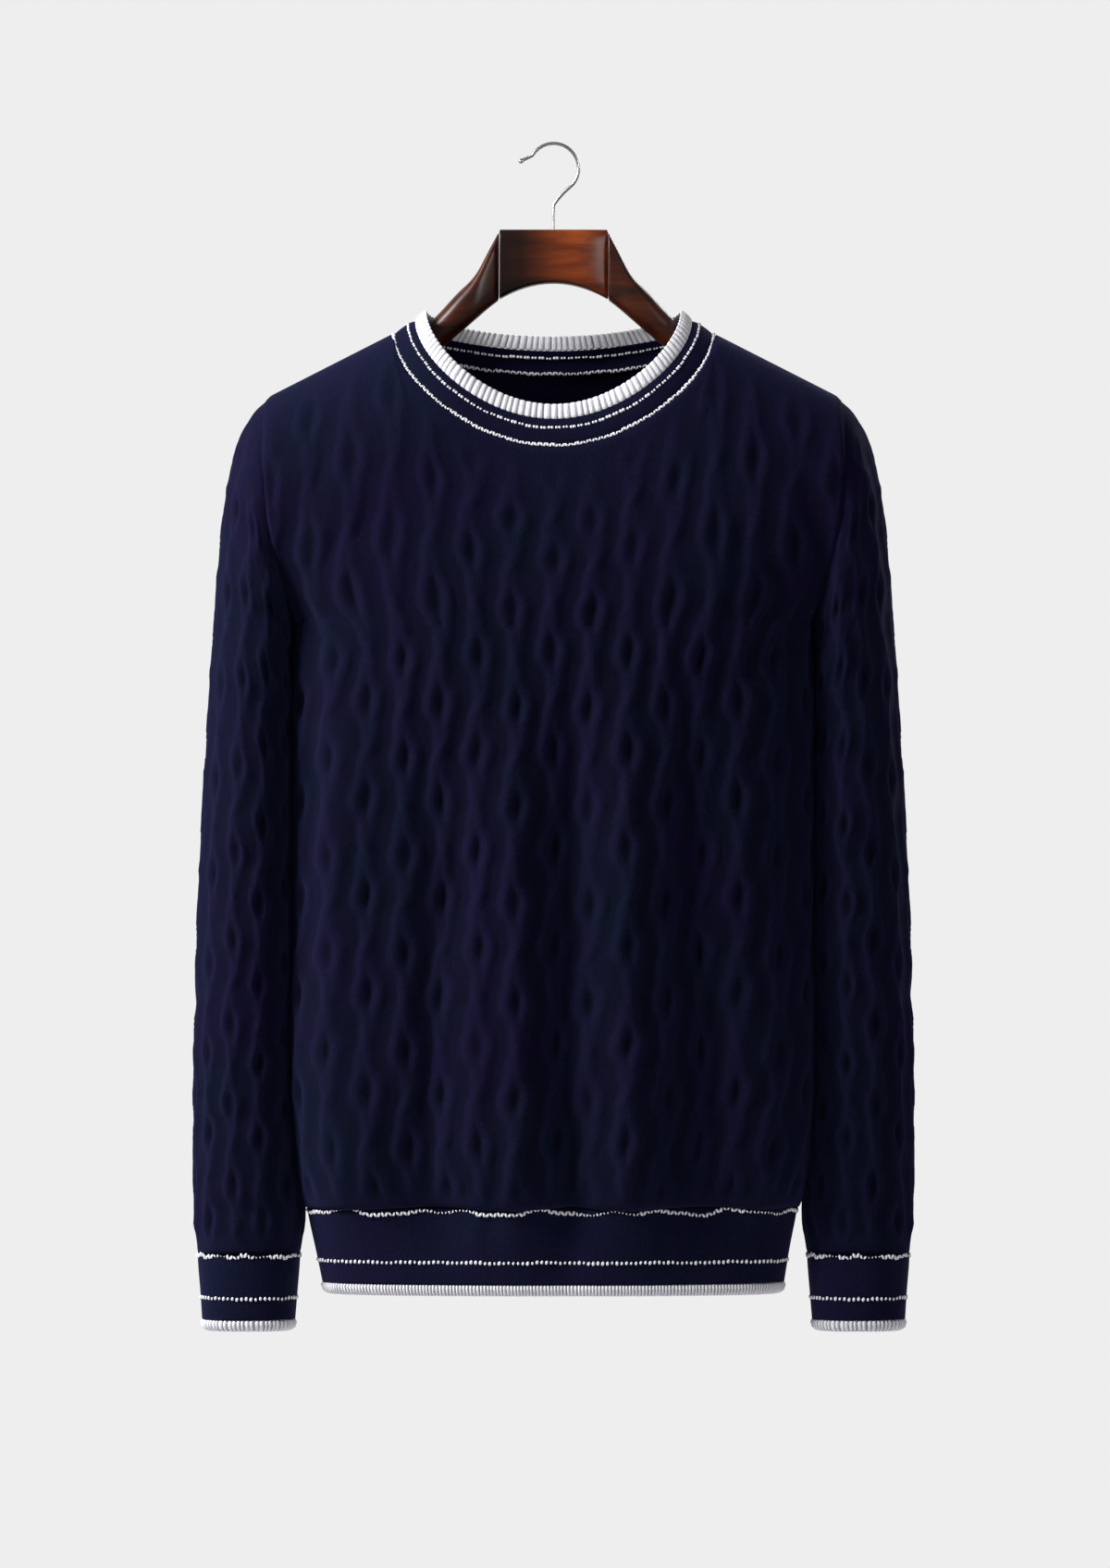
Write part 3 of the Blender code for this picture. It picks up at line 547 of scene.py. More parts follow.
def make_panel(name, facing, material):
    """A front or back panel, knitted in cables from hem to shoulder."""
    k = np.linspace(-PANEL_STEPS / 2, PANEL_STEPS / 2, PANEL_COLUMNS + 1)[None, :]
    row = np.concatenate([
        np.linspace(0, LOW_ROWS, PANEL_LOW + 1),
        np.linspace(LOW_ROWS, TOP_ROW, PANEL_HIGH + 1)[1:],
    ])[:, None]
    base = ease_rows(body_points(facing, k, row), 10)
    normal = ease_rows(normals_of(base, False) * -facing, 6)
    x, z = base[..., 0], base[..., 2]

    rise = (1 - np.cos(armhole_turn(row))) / 2
    twist = np.where(row <= LOW_ROWS, row / 2, LOW_ROWS / 2 + HIGH_TWISTS * rise) + CABLE_TURN
    upright = BODY_CABLES / 2 + x / CABLE_PITCH
    across = (k + PANEL_STEPS / 2) / PANEL_STEPS * BODY_CABLES
    across = lerp(across, upright, soft_step(z, ARMPIT_Z - 0.035, ARMPIT_Z + 0.035))
    _, top_z = top_edge(k, NECK_DROP[facing])
    to_top = top_z - z
    fade = soft_step(z, HEM_TOP + 0.001, HEM_TOP + 0.022) * soft_step(to_top, 0.002, 0.055)
    fade = fade * (1 - 0.35 * soft_step(z, YOKE_FOOT, YOKE_TOP))
    height = cable_height(across, twist)
    painted_shade = painted_shade_share(height, fade)
    cables = CABLE_RISE * height * fade * uneven(across, 2 * twist)

    edge_gap = (PANEL_STEPS / 2 - np.abs(k)) * SIDE_STEP
    dips = seam_dip(edge_gap) + seam_dip(to_top) + seam_dip(z - HEM_TOP, 0.0010, 0.0030)
    folds = fold_height(x, z, FRONT_FOLDS if facing < 0 else BACK_FOLDS)
    folds = folds * soft_step(edge_gap, 0.0, 0.012)
    grid = press(base + normal * (cables + dips + folds)[..., None], True)
    return finish_cloth(name, lay_grid(grid, PANEL_CUT, painted_shade, closed=False), (0, facing, 0), material)


def sleeve_points(side, row, turn):
    """The smooth sleeve at a row from the armhole and an angle from under the arm."""
    sizes = (read(SLEEVE, "row", name, row) for name in SleeveRing._fields[1:])
    outer_x, outer_z, inner_x, inner_z, half_depth = sizes
    bulge = ARMHOLE_BULGE * np.maximum(0, 1 - row / 3)
    x = (outer_x + inner_x) / 2 - (outer_x - inner_x) / 2 * np.cos(turn)
    z = (outer_z + inner_z) / 2 - (outer_z - inner_z) / 2 * np.cos(turn)
    x = x + bulge * np.sin(turn) ** 2
    flatter = 1 - 0.10 * soft_step(row, 2, 6) * (np.sin(turn) > 0)
    return points(side * x, -half_depth * flatter * np.sin(turn), z)


def make_sleeve(name, side, material):
    """A sleeve from armhole to cuff, its cables running down it."""
    row = np.linspace(0, SLEEVE_ROWS, SLEEVE_FINE_ROWS + 1)[:, None]
    turn = np.linspace(0, 2 * math.pi, SLEEVE_COLUMNS + 1)[None, :]
    base = sleeve_points(side, row, turn)
    normal = normals_of(base, True) * -side
    across = turn / (2 * math.pi) * SLEEVE_CABLES
    twist = row / 2 + CABLE_TURN
    fade = soft_step(row, 0.3, 3.0) * soft_step(SLEEVE_ROWS - row, 0.05, 0.7)
    under = 1 - 0.6 * np.exp(-((np.sin(turn / 2) / 0.30) ** 2))
    height = cable_height(across, twist)
    painted_shade = painted_shade_share(height, fade)
    cables = 0.85 * CABLE_RISE * height * fade * uneven(across, twist) * under

    folds = np.zeros_like(base[..., 0])
    z = base[..., 2]
    for n, fold in enumerate(SLEEVE_FOLDS):
        share = (turn - fold.turn_a) / (fold.turn_b - fold.turn_a)
        line = lerp(fold.z_a, fold.z_b, share) + 0.004 * np.sin(4 * share + n + side)
        reach = soft_step(share, -0.2, 0.35) * (1 - soft_step(share, 0.6, 1.2))
        folds += fold.rise * reach * np.exp(-(((z - line) / fold.width) ** 2))
    dips = seam_dip(row * SLEEVE_STEP, 0.0006, 0.0060)
    dips = dips + seam_dip((SLEEVE_ROWS - row) * CUFF_STEP, 0.0005, 0.0020)
    grid = press(base + normal * (cables + folds + dips)[..., None], False)
    grid[:, -1] = grid[:, 0]
    return finish_cloth(name, lay_grid(grid, SLEEVE_CUT, painted_shade), normal[0, 0], material)


def neck_seam(share):
    """The neck's seam at shares of the way round it, from its left corner over the front.

    It is given as (points, falls, facings). A fall is 0 at the corners and 1 in the middle.
    """
    front = share < 0.5
    over_front = lerp(-NECK_STEPS, NECK_STEPS, share * 2)
    k = np.where(front, over_front, lerp(NECK_STEPS, -NECK_STEPS, share * 2 - 1))
    seam = np.where(front[:, None], body_points(-1, k, TOP_ROW), body_points(1, k, TOP_ROW))
    drop = np.where(front, NECK_DROP[-1], NECK_DROP[1])
    return seam, (NECK_Z - seam[:, 2]) / drop, np.where(front, -1, 1)


def neck_loop(seam, fall, facing, form):
    """The neck's seam drawn in and up to one of the loops above it."""
    middle_z = np.where(facing < 0, form.front_z, form.back_z)
    return points(
        seam[:, 0] * form.half_width / NECK_X,
        seam[:, 1] * np.where(facing < 0, form.front_share, form.back_share),
        lerp(form.side_z, middle_z, fall),
    )


def neck_outwards(fall, facing):
    return unit(points(np.zeros_like(fall), facing * fall, 1 - fall))


def even_neck(count):
    """Shares that step evenly along the rib's seam, the last one a full turn."""
    share = np.linspace(0, 1, 1601)
    curve = neck_loop(*neck_seam(share), NECK_BAND_TOP)
    return np.interp(np.linspace(0, 1, count + 1), along(curve), share)


def smooth_ring(values, times):
    """Averages a closed ring of values with its neighbours, its last one equal to its first."""
    ring = values[:-1]
    for _ in range(times):
        ring = (np.roll(ring, 1, axis=0) + 2 * ring + np.roll(ring, -1, axis=0)) / 4
    return np.concatenate([ring, ring[:1]])


# ---- rings: neck, hem and cuffs ------------------------------------------------------

NECK_RIBS, NECK_RIB_POINTS = 124, 8
TIP_RIB_POINTS = 6
NECK_COLUMNS = 496
NECK_BAND_HEIGHT = 0.020
RIB_COURSE = 0.0027  # height of one stitch on a rib
EDGE_STEPS = 22  # points round the section of a white edge
NOTCH = 0.0010  # how far the grooves cut into a white edge's two sides


def edge_section():
    """A rounded flat section: (share along the edge's height, share of its half thickness)."""
    turn = np.linspace(0, 2 * math.pi, EDGE_STEPS + 1)
    return (1 - signed_power(np.cos(turn), 0.42)) / 2, signed_power(np.sin(turn), 0.50)


def edge_grid(lower, upper, outwards, ribs, rib_rise, narrow, tuck):
    """A doubled, ribbed edge between two loops of points, its outside on them.

    Its free end tucks in a little. Also returned is how deep each point lies between ribs: the share of
    painted shade that darkens the white knit there.
    """
    share = np.linspace(0, 1, len(lower))
    # The ribs differ a little, as knitted ones do.
    turn = 2 * math.pi * share
    phase = share * ribs + 0.12 * np.sin(9 * turn) + 0.08 * np.sin(31 * turn)
    groove = 1 - np.abs(np.cos(math.pi * phase)) ** narrow
    up = upper - lower
    height = np.linalg.norm(up, axis=1)
    up = up / height[:, None]
    rows, painted_shades = [], []
    for along_edge, out in zip(*edge_section()):
        centre = lerp(lower, upper, along_edge) - outwards * RIB_WALL / 2
        bend = 0.0005 * (1 - (2 * along_edge - 1) ** 2) - tuck * along_edge**4
        stitch = 0.12 * np.cos(2 * math.pi * along_edge * height / RIB_COURSE)
        raised = rib_rise * (0.4 - groove + stitch) * (0.35 + 0.65 * abs(out))
        raised = raised * (1 if out > 0 else 0.6)
        notch = NOTCH * groove * ((1 - along_edge) ** 3 - along_edge**3)
        proud = out * (RIB_WALL / 2 + raised) + bend
        rows.append(centre + outwards * proud[:, None] + up * notch[:, None])
        painted_shades.append(groove)
    rows[-1] = rows[0]
    grid = np.stack(rows)
    grid[:, -1] = grid[:, 0]
    return grid, np.stack(painted_shades)


def ring_points(ring, squareness, side, share):
    """A level ring's points and outward directions, from its -x side over the front."""
    turn = np.linspace(0, 2 * math.pi, 3201)
    across = -signed_power(np.cos(turn), 2 / squareness)
    deep = -signed_power(np.sin(turn), 2 / squareness)
    depth = ring.half_depth * np.where((deep > 0) & (ring.centre_x == 0), BACK_SHARE, 1)
    curve = points(side * ring.centre_x + across * ring.half_width, deep * depth, ring.z)
    places = along(curve)
    step = 0.0015
    run = unit(curve_at((share + step) % 1, places, curve) - curve_at((share - step) % 1, places, curve))
    return curve_at(share, places, curve), points(run[:, 1], -run[:, 0], 0)


def ring_at(rings, z):
    return BandRing(z, *(float(read(rings, "z", name, z)) for name in BandRing._fields[1:]))


def band_ring(rings, z, squareness, side, share):
    """A ring of the hem or of a cuff at height z. The body's drape folds run on through the hem."""
    loop, outwards = ring_points(ring_at(rings, z), squareness, side, share)
    if rings[0].centre_x == 0:
        x, y, z = loop.T
        folds = np.where(y < 0, fold_height(x, z, FRONT_FOLDS), fold_height(x, z, BACK_FOLDS))
        loop = loop + outwards * folds[:, None]
    return loop, outwards


def make_band(name, rings, squareness, side, columns, material):
    """A plain fine-ribbed band, a tube under the panels or a sleeve."""
    share = np.linspace(0, 1, columns + 1)
    levels = np.linspace(rings[0].z, rings[-1].z, 31)
    rows = []
    for z in levels:
        loop, outwards = band_ring(rings, z, squareness, side, share)
        rows.append(loop + outwards * seam_dip(rings[0].z - z, 0.0005, 0.0020))
    grid = np.stack(rows)
    grid[:, -1] = grid[:, 0]
    cut = (lengths_along(grid[0])[-1], abs(rings[-1].z - rings[0].z) * 1.02)
    return finish_cloth(name, lay_grid(grid, cut), (-1, 0, 0), material), cut


def make_ring_edge(name, rings, squareness, side, ribs, material):
    """The white ribbed tip of the hem or of a cuff."""
    share = np.linspace(0, 1, ribs * TIP_RIB_POINTS + 1)
    lower, _ = band_ring(rings, rings[0].z, squareness, side, share)
    upper, outwards = band_ring(rings, rings[-1].z, squareness, side, share)
    grid, painted_shade = edge_grid(lower, upper, outwards, ribs, 0.0013, 0.6, 0.0034)
    return finish_edge(name, grid, painted_shade, lower, upper, material)


def finish_edge(name, grid, painted_shade, lower, upper, material):
    """A white edge, doubled over, and the cut that shows of it."""
    around = lengths_along(lower)[-1]
    height = np.linalg.norm(upper - lower, axis=1).mean()
    mesh = lay_grid(grid, (around, 2 * height + RIB_WALL), painted_shade)
    return finish_closed(name, mesh, material), (around, height)


def neck_frame(count):
    """Even shares round the neck, its seam, falls, facings and outward directions."""
    share = even_neck(count)
    share[-1] = 0.0
    seam, fall, facing = neck_seam(share)
    outwards = smooth_ring(neck_outwards(fall, facing), max(2, count // 60))
    return seam, fall, facing, unit(outwards)


def make_neck_band(material):
    """The plain navy band round the neck, leaning inwards over its seam."""
    seam, fall, facing, outwards = neck_frame(NECK_COLUMNS)
    top = neck_loop(seam, fall, facing, NECK_BAND_TOP)
    rows = []
    for up in np.linspace(0, 1, 25):
        swell = 0.0008 * math.sin(math.pi * up)
        swell += seam_dip(up * NECK_BAND_HEIGHT, 0.0010, 0.0030)
        swell += seam_dip((1 - up) * NECK_BAND_HEIGHT, 0.0008, 0.0025)
        rows.append(lerp(seam, top, up) + outwards * swell)
    grid = np.stack([smooth_ring(row, 3) for row in rows])
    cut = (lengths_along(grid[0])[-1], np.linalg.norm(grid[-1] - grid[0], axis=1).mean())
    return finish_cloth("neck_band", lay_grid(grid, cut), outwards[0], material), cut


def make_neck_rib(material):
    """The white ribbed edge on top of the neck band."""
    seam, fall, facing, outwards = neck_frame(NECK_RIBS * NECK_RIB_POINTS)
    lower = smooth_ring(neck_loop(seam, fall, facing, NECK_BAND_TOP), 4)
    upper = smooth_ring(neck_loop(seam, fall, facing, NECK_RIB_TOP), 4)
    grid, painted_shade = edge_grid(lower, upper, outwards, NECK_RIBS, 0.0016, 0.32, 0.0)
    return finish_edge("neck_rib", grid, painted_shade, lower, upper, material)


# ---- the white knit lines ------------------------------------------------------------

# A stitch's legs are given as (place in the pitch, lean from upright in degrees). The real
# stitches are about 2.3 mm apart, and these are drawn coarser, so that they show.
Stitch = namedtuple("Stitch", "pitch length width legs")
LINE_RELIEF = 0.0003  # how far the middle of a stitch lies out from its band
LEG_HALF_THICKNESS = 0.0008
CHAIN = Stitch(0.0054, 0.0038, 0.0020, ((-0.25, -28), (0.25, 28)))
BEADS = Stitch(0.0034, 0.0031, 0.0022, ((0.0, 14),))
DASHES = Stitch(0.0053, 0.0023, 0.0023, ((-0.21, 72), (0.19, 56)))
ZIGZAG = Stitch(0.0044, 0.0034, 0.0020, ((-0.25, 36), (0.25, -36)))


def wobble(n, rate):
    """A small repeatable unevenness from -1 to 1 for stitch n."""
    return math.sin(n * rate + 3 * math.sin(n * 0.37 * rate))


def lay_stitches(mesh, loop, outwards, sizes, stitch):
    """One row of knit stitches along a loop, each of one or two slanting legs of yarn."""
    lengths = lengths_along(loop)
    count = round(lengths[-1] / stitch.pitch)
    at = np.arange(count) / count * lengths[-1]
    places = curve_at(at, lengths, loop)
    normals = unit(curve_at(at, lengths, outwards))
    runs = unit(np.roll(places, -1, axis=0) - np.roll(places, 1, axis=0))
    scales = np.interp(at, lengths, sizes)
    for n, (place, normal, run, size) in enumerate(zip(places, normals, runs, scales)):
        if size < 0.25:
            continue
        up = np.cross(normal, run)
        size = size * (1 + 0.16 * wobble(n, 1.9))
        place = place + up * LINE_RELIEF * wobble(n, 3.1)
        for at_share, lean in stitch.legs:
            lean = math.radians(lean + 9 * wobble(n, 2.3))
            leg = unit(up * math.cos(lean) + run * math.sin(lean))
            across = np.cross(leg, normal)
            centre = place + run * at_share * stitch.pitch + normal * LINE_RELIEF
            long_axis = leg * stitch.length / 2 * size
            wide_axis = across * stitch.width / 2 * size
            matrix = Matrix.Identity(4)
            for column, axis in enumerate((long_axis, wide_axis, normal * LEG_HALF_THICKNESS, centre)):
                matrix.col[column].xyz = axis
            bmesh.ops.create_icosphere(mesh, subdivisions=1, radius=1, matrix=matrix)


def finish_stitches(name, mesh, material):
    bmesh.ops.recalc_face_normals(mesh, faces=mesh.faces)
    line = add_object(name, mesh, material)
    return line


def band_line(rings, squareness, side, z, waves, gaps):
    """A line's loop, outward directions and stitch sizes on a band at height z."""
    share = np.linspace(0, 1, 1601)
    loop, outwards = band_ring(rings, z, squareness, side, share)
    turn = 2 * math.pi * share
    rise = np.sin(11 * turn + 3.6) + 0.8 * np.sin(17 * turn + 1) + 0.6 * np.sin(29 * turn + 2)
    loop = loop + points(0, 0, rise * waves / 1.6)
    hidden = np.sin(7 * turn + 0.6) + 0.7 * np.sin(13 * turn + 2.1) + 0.5 * np.sin(19 * turn)
    sizes = 1 - gaps * soft_step(hidden, 0.35, 1.0)
    return loop, outwards, sizes


def make_ring_lines(name, rings, squareness, side, heights, waves, gaps, material):
    """The upper, wavy and broken line and the lower, even one of a hem or cuff band."""
    mesh = bmesh.new()
    upper, lower = heights
    lay_stitches(mesh, *band_line(rings, squareness, side, upper, waves, gaps), CHAIN)
    lay_stitches(mesh, *band_line(rings, squareness, side, lower, 0.0002, 0.0), BEADS)
    return finish_stitches(name, mesh, material)


def make_neck_lines(material):
    """Two lines round the neck band, on its outside and again on the inside that shows."""
    seam, fall, facing, outwards = neck_frame(600)
    top = neck_loop(seam, fall, facing, NECK_BAND_TOP)
    mesh = bmesh.new()
    for up, stitch in ((0.06, ZIGZAG), (0.69, DASHES)):
        loop = smooth_ring(lerp(seam, top, up) + outwards * 0.0005, 3)
        inner = loop - outwards * (WALL + 0.0007)
        sizes = np.ones(len(loop))
        lay_stitches(mesh, loop, outwards, sizes, stitch)
        lay_stitches(mesh, inner, -outwards, sizes, stitch)
    return finish_stitches("neck_lines", mesh, material)


# ---- the hanger ----------------------------------------------------------------------


def loft(name, stations, section, material):
    """A closed wooden board through upright sections along x.

    Each section is (middle z, half height, half depth, squareness).
    """
    turn = np.linspace(0, 2 * math.pi, BOARD_SIDES + 1)
    rows = []
    for x, shrink in stations:
        middle, half_height, half_depth, squareness = section(x)
        power = 2 / squareness
        y = -signed_power(np.sin(turn), power) * half_depth * shrink
        z = middle + signed_power(np.cos(turn), power) * half_height * shrink
        rows.append(points(x, y, z))
    grid = np.stack(rows)
    grid[:, -1] = grid[:, 0]
    return finish_closed(name, lay_grid(grid, BOARD_CUT), material)


def rounded_stations(start, end, count):
    """Stations from a rounded start to a rounded end: (x, share of the section's size)."""
    sign = 1 if end > start else -1
    angles = np.linspace(0, math.pi / 2, 6)
    corner = [(EDGE * (1 - math.sin(a)), 1 - 0.10 * (1 - math.cos(a))) for a in angles]
    first = [(start + sign * inset, size) for inset, size in reversed(corner)]
    inner = [(x, 1.0) for x in np.linspace(start + sign * EDGE, end - sign * EDGE, count)[1:-1]]
    last = [(end - sign * inset, size) for inset, size in corner]
    return [(start, 0.0), *first, *inner, *last, (end, 0.0)]


def block_section(x):
    """The middle block's section, arched underneath."""
    share = min(1, abs(x) / BLOCK_HALF_WIDTH)
    foot = BLOCK_FOOT + (ARCH_TOP - BLOCK_FOOT) * (1 - share**2)
    half_height = (BLOCK_TOP - foot) / 2
    half_depth = BLOCK_HALF_DEPTH - (CROWN * share**3 if x > 0 else 0.0)
    return (BLOCK_TOP + foot) / 2, half_height, half_depth, 5.0


def make_arm(name, side, material):
    """One shaped arm of the hanger, squarer where it meets the block."""

    def section(x):
        at = abs(x)
        top, bottom = (float(read(ARM, "x", name, at)) for name in ("top", "bottom"))
        squareness = 2.3 + 1.6 * float(soft_step(0.075 - at, 0.0, 0.035))
        inward = max(0.0, 1 - (at - ARM[0].x) / 0.022) if side < 0 else 0.0
        half_depth = float(read(ARM, "x", "half_depth", at)) - CROWN * inward**2
        return (top + bottom) / 2, (top - bottom) / 2, half_depth, squareness

    stations = rounded_stations(ARM[0].x, ARM[-1].x, 60)
    return loft(name, [(side * x, size) for x, size in stations], section, material)


def make_hook(material):
    """The steel hook: a shaft, the round bend and a small ball at its end."""
    # x, z and the wire's thickness as a share
    path = [
        (0, BLOCK_TOP, 0.8),
        (0, -0.0520, 0.8),
        (0, HOOK_SHAFT_TOP, 0.85),
        (0.0007, HOOK_SHAFT_TOP + 0.0018, 0.9),
        (0.0030, HOOK_SHAFT_TOP + 0.0050, 1),
        (0.0075, HOOK_SHAFT_TOP + 0.0100, 1),
    ]
    for turn in np.linspace(HOOK_START, HOOK_END, 72):
        path.append((HOOK_RADIUS * math.cos(turn), HOOK_CENTRE_Z + HOOK_RADIUS * math.sin(turn), 1))
    last = np.array(path[-1][:2])
    tip = np.array([HOOK_TIP_X, HOOK_TIP_Z])
    into = unit(tip - last)
    ball = WIRE * BALL_SHARE
    path.append((*(tip - into * ball), 1))
    for angle in np.radians(np.linspace(42, 180, 14)):
        place = tip - into * math.cos(angle) * ball
        path.append((*place, BALL_SHARE * math.sin(angle)))
    path = np.array(path)
    centre = path[:, :2]
    run = unit(np.gradient(centre, axis=0))
    turn = np.linspace(0, 2 * math.pi, 17)
    radius = WIRE * path[:, 2:3]
    side_x, side_z = -run[:, 1:2], run[:, 0:1]
    x = centre[:, 0:1] + radius * np.cos(turn) * side_x
    z = centre[:, 1:2] + radius * np.cos(turn) * side_z
    grid = points(x, radius * np.sin(turn), z)
    return finish_closed("hanger_hook", lay_grid(grid, WIRE_CUT), material)


# ---- materials -----------------------------------------------------------------------


def linear(hex_colour):
    """An sRGB hex colour as linear RGBA."""
    channels = [int(hex_colour[i : i + 2], 16) / 255 for i in (1, 3, 5)]
    return (*(c / 12.92 if c <= 0.04045 else ((c + 0.055) / 1.055) ** 2.4 for c in channels), 1)


def new_material(name):
    material = bpy.data.materials.new(name)
    material.use_nodes = True
    return material, material.node_tree, material.node_tree.nodes["Principled BSDF"]


def node(tree, kind, links=(), values=(), **settings):
    """Adds a node: links and values are (socket, source or value) pairs."""
    added = tree.nodes.new(kind)
    for key, value in settings.items():
        setattr(added, key, value)
    for socket, source in links:
        tree.links.new(source, added.inputs[socket])
    for socket, value in values:
        added.inputs[socket].default_value = value
    return added


def maths(tree, operation, a, b=None):
    """One Math node: a and b are sockets or plain numbers."""
    added = node(tree, "ShaderNodeMath", operation=operation)
    for socket, value in ((0, a), (1, b)):
        if value is None:
            continue
        if isinstance(value, (int, float)):
            added.inputs[socket].default_value = value
        else:
            tree.links.new(value, added.inputs[socket])
    return added.outputs[0]


def ramp(tree, source, stops):
    """A colour ramp of (position, colour) stops."""
    added = node(tree, "ShaderNodeValToRGB", [("Fac", source)])
    elements = added.color_ramp.elements
    while len(elements) < len(stops):
        elements.new(0.5)
    for element, (position, colour) in zip(elements, stops):
        element.position = position
        element.color = colour
    return added.outputs["Color"]


# One stitch's width and height. Real ones here are about 1.5 by 1.1 mm, too fine to show,
# so these are drawn coarser.
WALE, COURSE = 0.0022, 0.0019


def stitch_height(tree):
    """Height of plain knit stitches, little Vs in columns, from the cut's metres."""
    place = node(tree, "ShaderNodeUVMap", uv_map="cut")
    apart = node(tree, "ShaderNodeSeparateXYZ", [("Vector", place.outputs["UV"])])
    column = maths(tree, "MULTIPLY", apart.outputs["X"], 1 / WALE)
    off = maths(tree, "ABSOLUTE", maths(tree, "SUBTRACT", maths(tree, "FRACT", column), 0.5))
    row = maths(tree, "MULTIPLY", apart.outputs["Y"], 1 / COURSE)
    leg = maths(tree, "SINE", maths(tree, "MULTIPLY", maths(tree, "SUBTRACT", row, off), 2 * math.pi))
    groove = maths(tree, "COSINE", maths(tree, "MULTIPLY", off, 4 * math.pi))
    return maths(tree, "ADD", maths(tree, "MULTIPLY", leg, 0.30), maths(tree, "MULTIPLY", groove, -0.25))


def multiply(tree, first, second):
    """The product of two colours."""
    mix = node(tree, "ShaderNodeMix", data_type="RGBA", blend_type="MULTIPLY")
    mix.inputs[0].default_value = 1.0
    tree.links.new(first, mix.inputs[6])
    tree.links.new(second, mix.inputs[7])
    return mix.outputs[2]


def make_knit(name, deep, light, tints, shade, sheen, sheen_weight, bump_depth):
    """Knitted merino wool: matt, softly fuzzy, with fine stitches and a faint heather.

    deep and light are the yarn's tones, tints the slow changes of dye over some 80 mm, and
    shade the colour of the painted shade down in a groove, where the yarns on both sides shadow it.
    """
    material, tree, shader = new_material(name)
    place = node(tree, "ShaderNodeTexCoord")
    # Tufts of fuzz 2.4 mm across: real ones are about 1 mm, too fine to show.
    fuzz = node(
        tree, "ShaderNodeTexNoise", [("Vector", place.outputs["Object"])],
        [("Scale", 420.0), ("Detail", 4.0), ("Roughness", 0.65)],
    )
    patches = node(
        tree, "ShaderNodeTexNoise", [("Vector", place.outputs["Object"])],
        [("Scale", 13.0), ("Detail", 3.0), ("Roughness", 0.6)],
    )
    yarn = ramp(tree, fuzz.outputs["Fac"], [(0.30, deep), (0.72, light)])
    tint = ramp(tree, patches.outputs["Fac"], [(0.36, tints[0]), (0.64, tints[1])])
    # Painted shade: the colour is darkened down in the grooves and eyes, by the share that each knit piece
    # carries.
    painted_shade = node(tree, "ShaderNodeAttribute", attribute_name="painted_shade").outputs["Fac"]
    shaded = ramp(tree, painted_shade, [(0.0, (1, 1, 1, 1)), (1.0, shade)])
    colour = multiply(tree, multiply(tree, yarn, tint), shaded)
    tree.links.new(colour, shader.inputs["Base Color"])
    height = maths(tree, "ADD", stitch_height(tree), maths(tree, "MULTIPLY", fuzz.outputs["Fac"], 0.9))
    bump = node(tree, "ShaderNodeBump", [("Height", height)], [("Strength", 0.55), ("Distance", bump_depth)])
    tree.links.new(bump.outputs["Normal"], shader.inputs["Normal"])
    shader.inputs["Roughness"].default_value = 0.92
    shader.inputs["Specular IOR Level"].default_value = 0.05
    shader.inputs["Sheen Weight"].default_value = sheen_weight
    shader.inputs["Sheen Roughness"].default_value = 0.50
    shader.inputs["Sheen Tint"].default_value = sheen
    return material


# A scale on the wood's colour, from the reach below left of the middle (0) to as far right of it (1).
# It is 0.20 on the arms. Across the middle block it is painted shade on the left and painted light right of
# the middle.
PAINTED_LIGHT_REACH = 0.0400
TONE_AND_PAINTED_LIGHT = [
    (0.0060, 0.20), (0.0100, 0.03), (0.2200, 0.07), (0.3600, 0.26), (0.5100, 0.62),
    (0.7000, 0.95), (0.9925, 0.80), (0.9938, 0.20),
]


def make_wood():
    """Lacquered beech stained red-brown: long grain under a thick clear coat.

    Across the middle block the colour is darkened on its left and lightened right of its middle, as painted
    shade and painted light. A streak of grain is about 110 mm long and 11 to 17 mm wide, with finer lines of
    1 mm in it.
    """
    material, tree, shader = new_material("lacquered wood")
    place = node(tree, "ShaderNodeTexCoord")
    stretch = node(
        tree, "ShaderNodeMapping", [("Vector", place.outputs["Object"])],
        [("Scale", (9.0, 60.0, 90.0))],
    )
    grain = node(
        tree, "ShaderNodeTexNoise", [("Vector", stretch.outputs["Vector"])],
        [("Scale", 1.0), ("Detail", 5.0), ("Roughness", 0.6), ("Distortion", 0.6)],
    )
    stops = [(0.30, linear("#522009")), (0.52, linear("#7a3312")), (0.75, linear("#9e4c1b"))]
    apart = node(tree, "ShaderNodeSeparateXYZ", [("Vector", place.outputs["Object"])])
    # Painted shade and painted light across the middle block: darker on its left, lighter right of its
    # middle.
    reach = maths(tree, "MULTIPLY", apart.outputs["X"], 0.5 / PAINTED_LIGHT_REACH)
    along_board = maths(tree, "ADD", reach, 0.5)
    tone_and_painted_light = ramp(tree, along_board, [(at, (k, k, k, 1)) for at, k in TONE_AND_PAINTED_LIGHT])
    colour = multiply(tree, ramp(tree, grain.outputs["Fac"], stops), tone_and_painted_light)
    tree.links.new(colour, shader.inputs["Base Color"])
    shader.inputs["Roughness"].default_value = 0.45
    shader.inputs["Specular IOR Level"].default_value = 0.1
    shader.inputs["Coat Weight"].default_value = 0.5
    shader.inputs["Coat Roughness"].default_value = 0.30
    return material


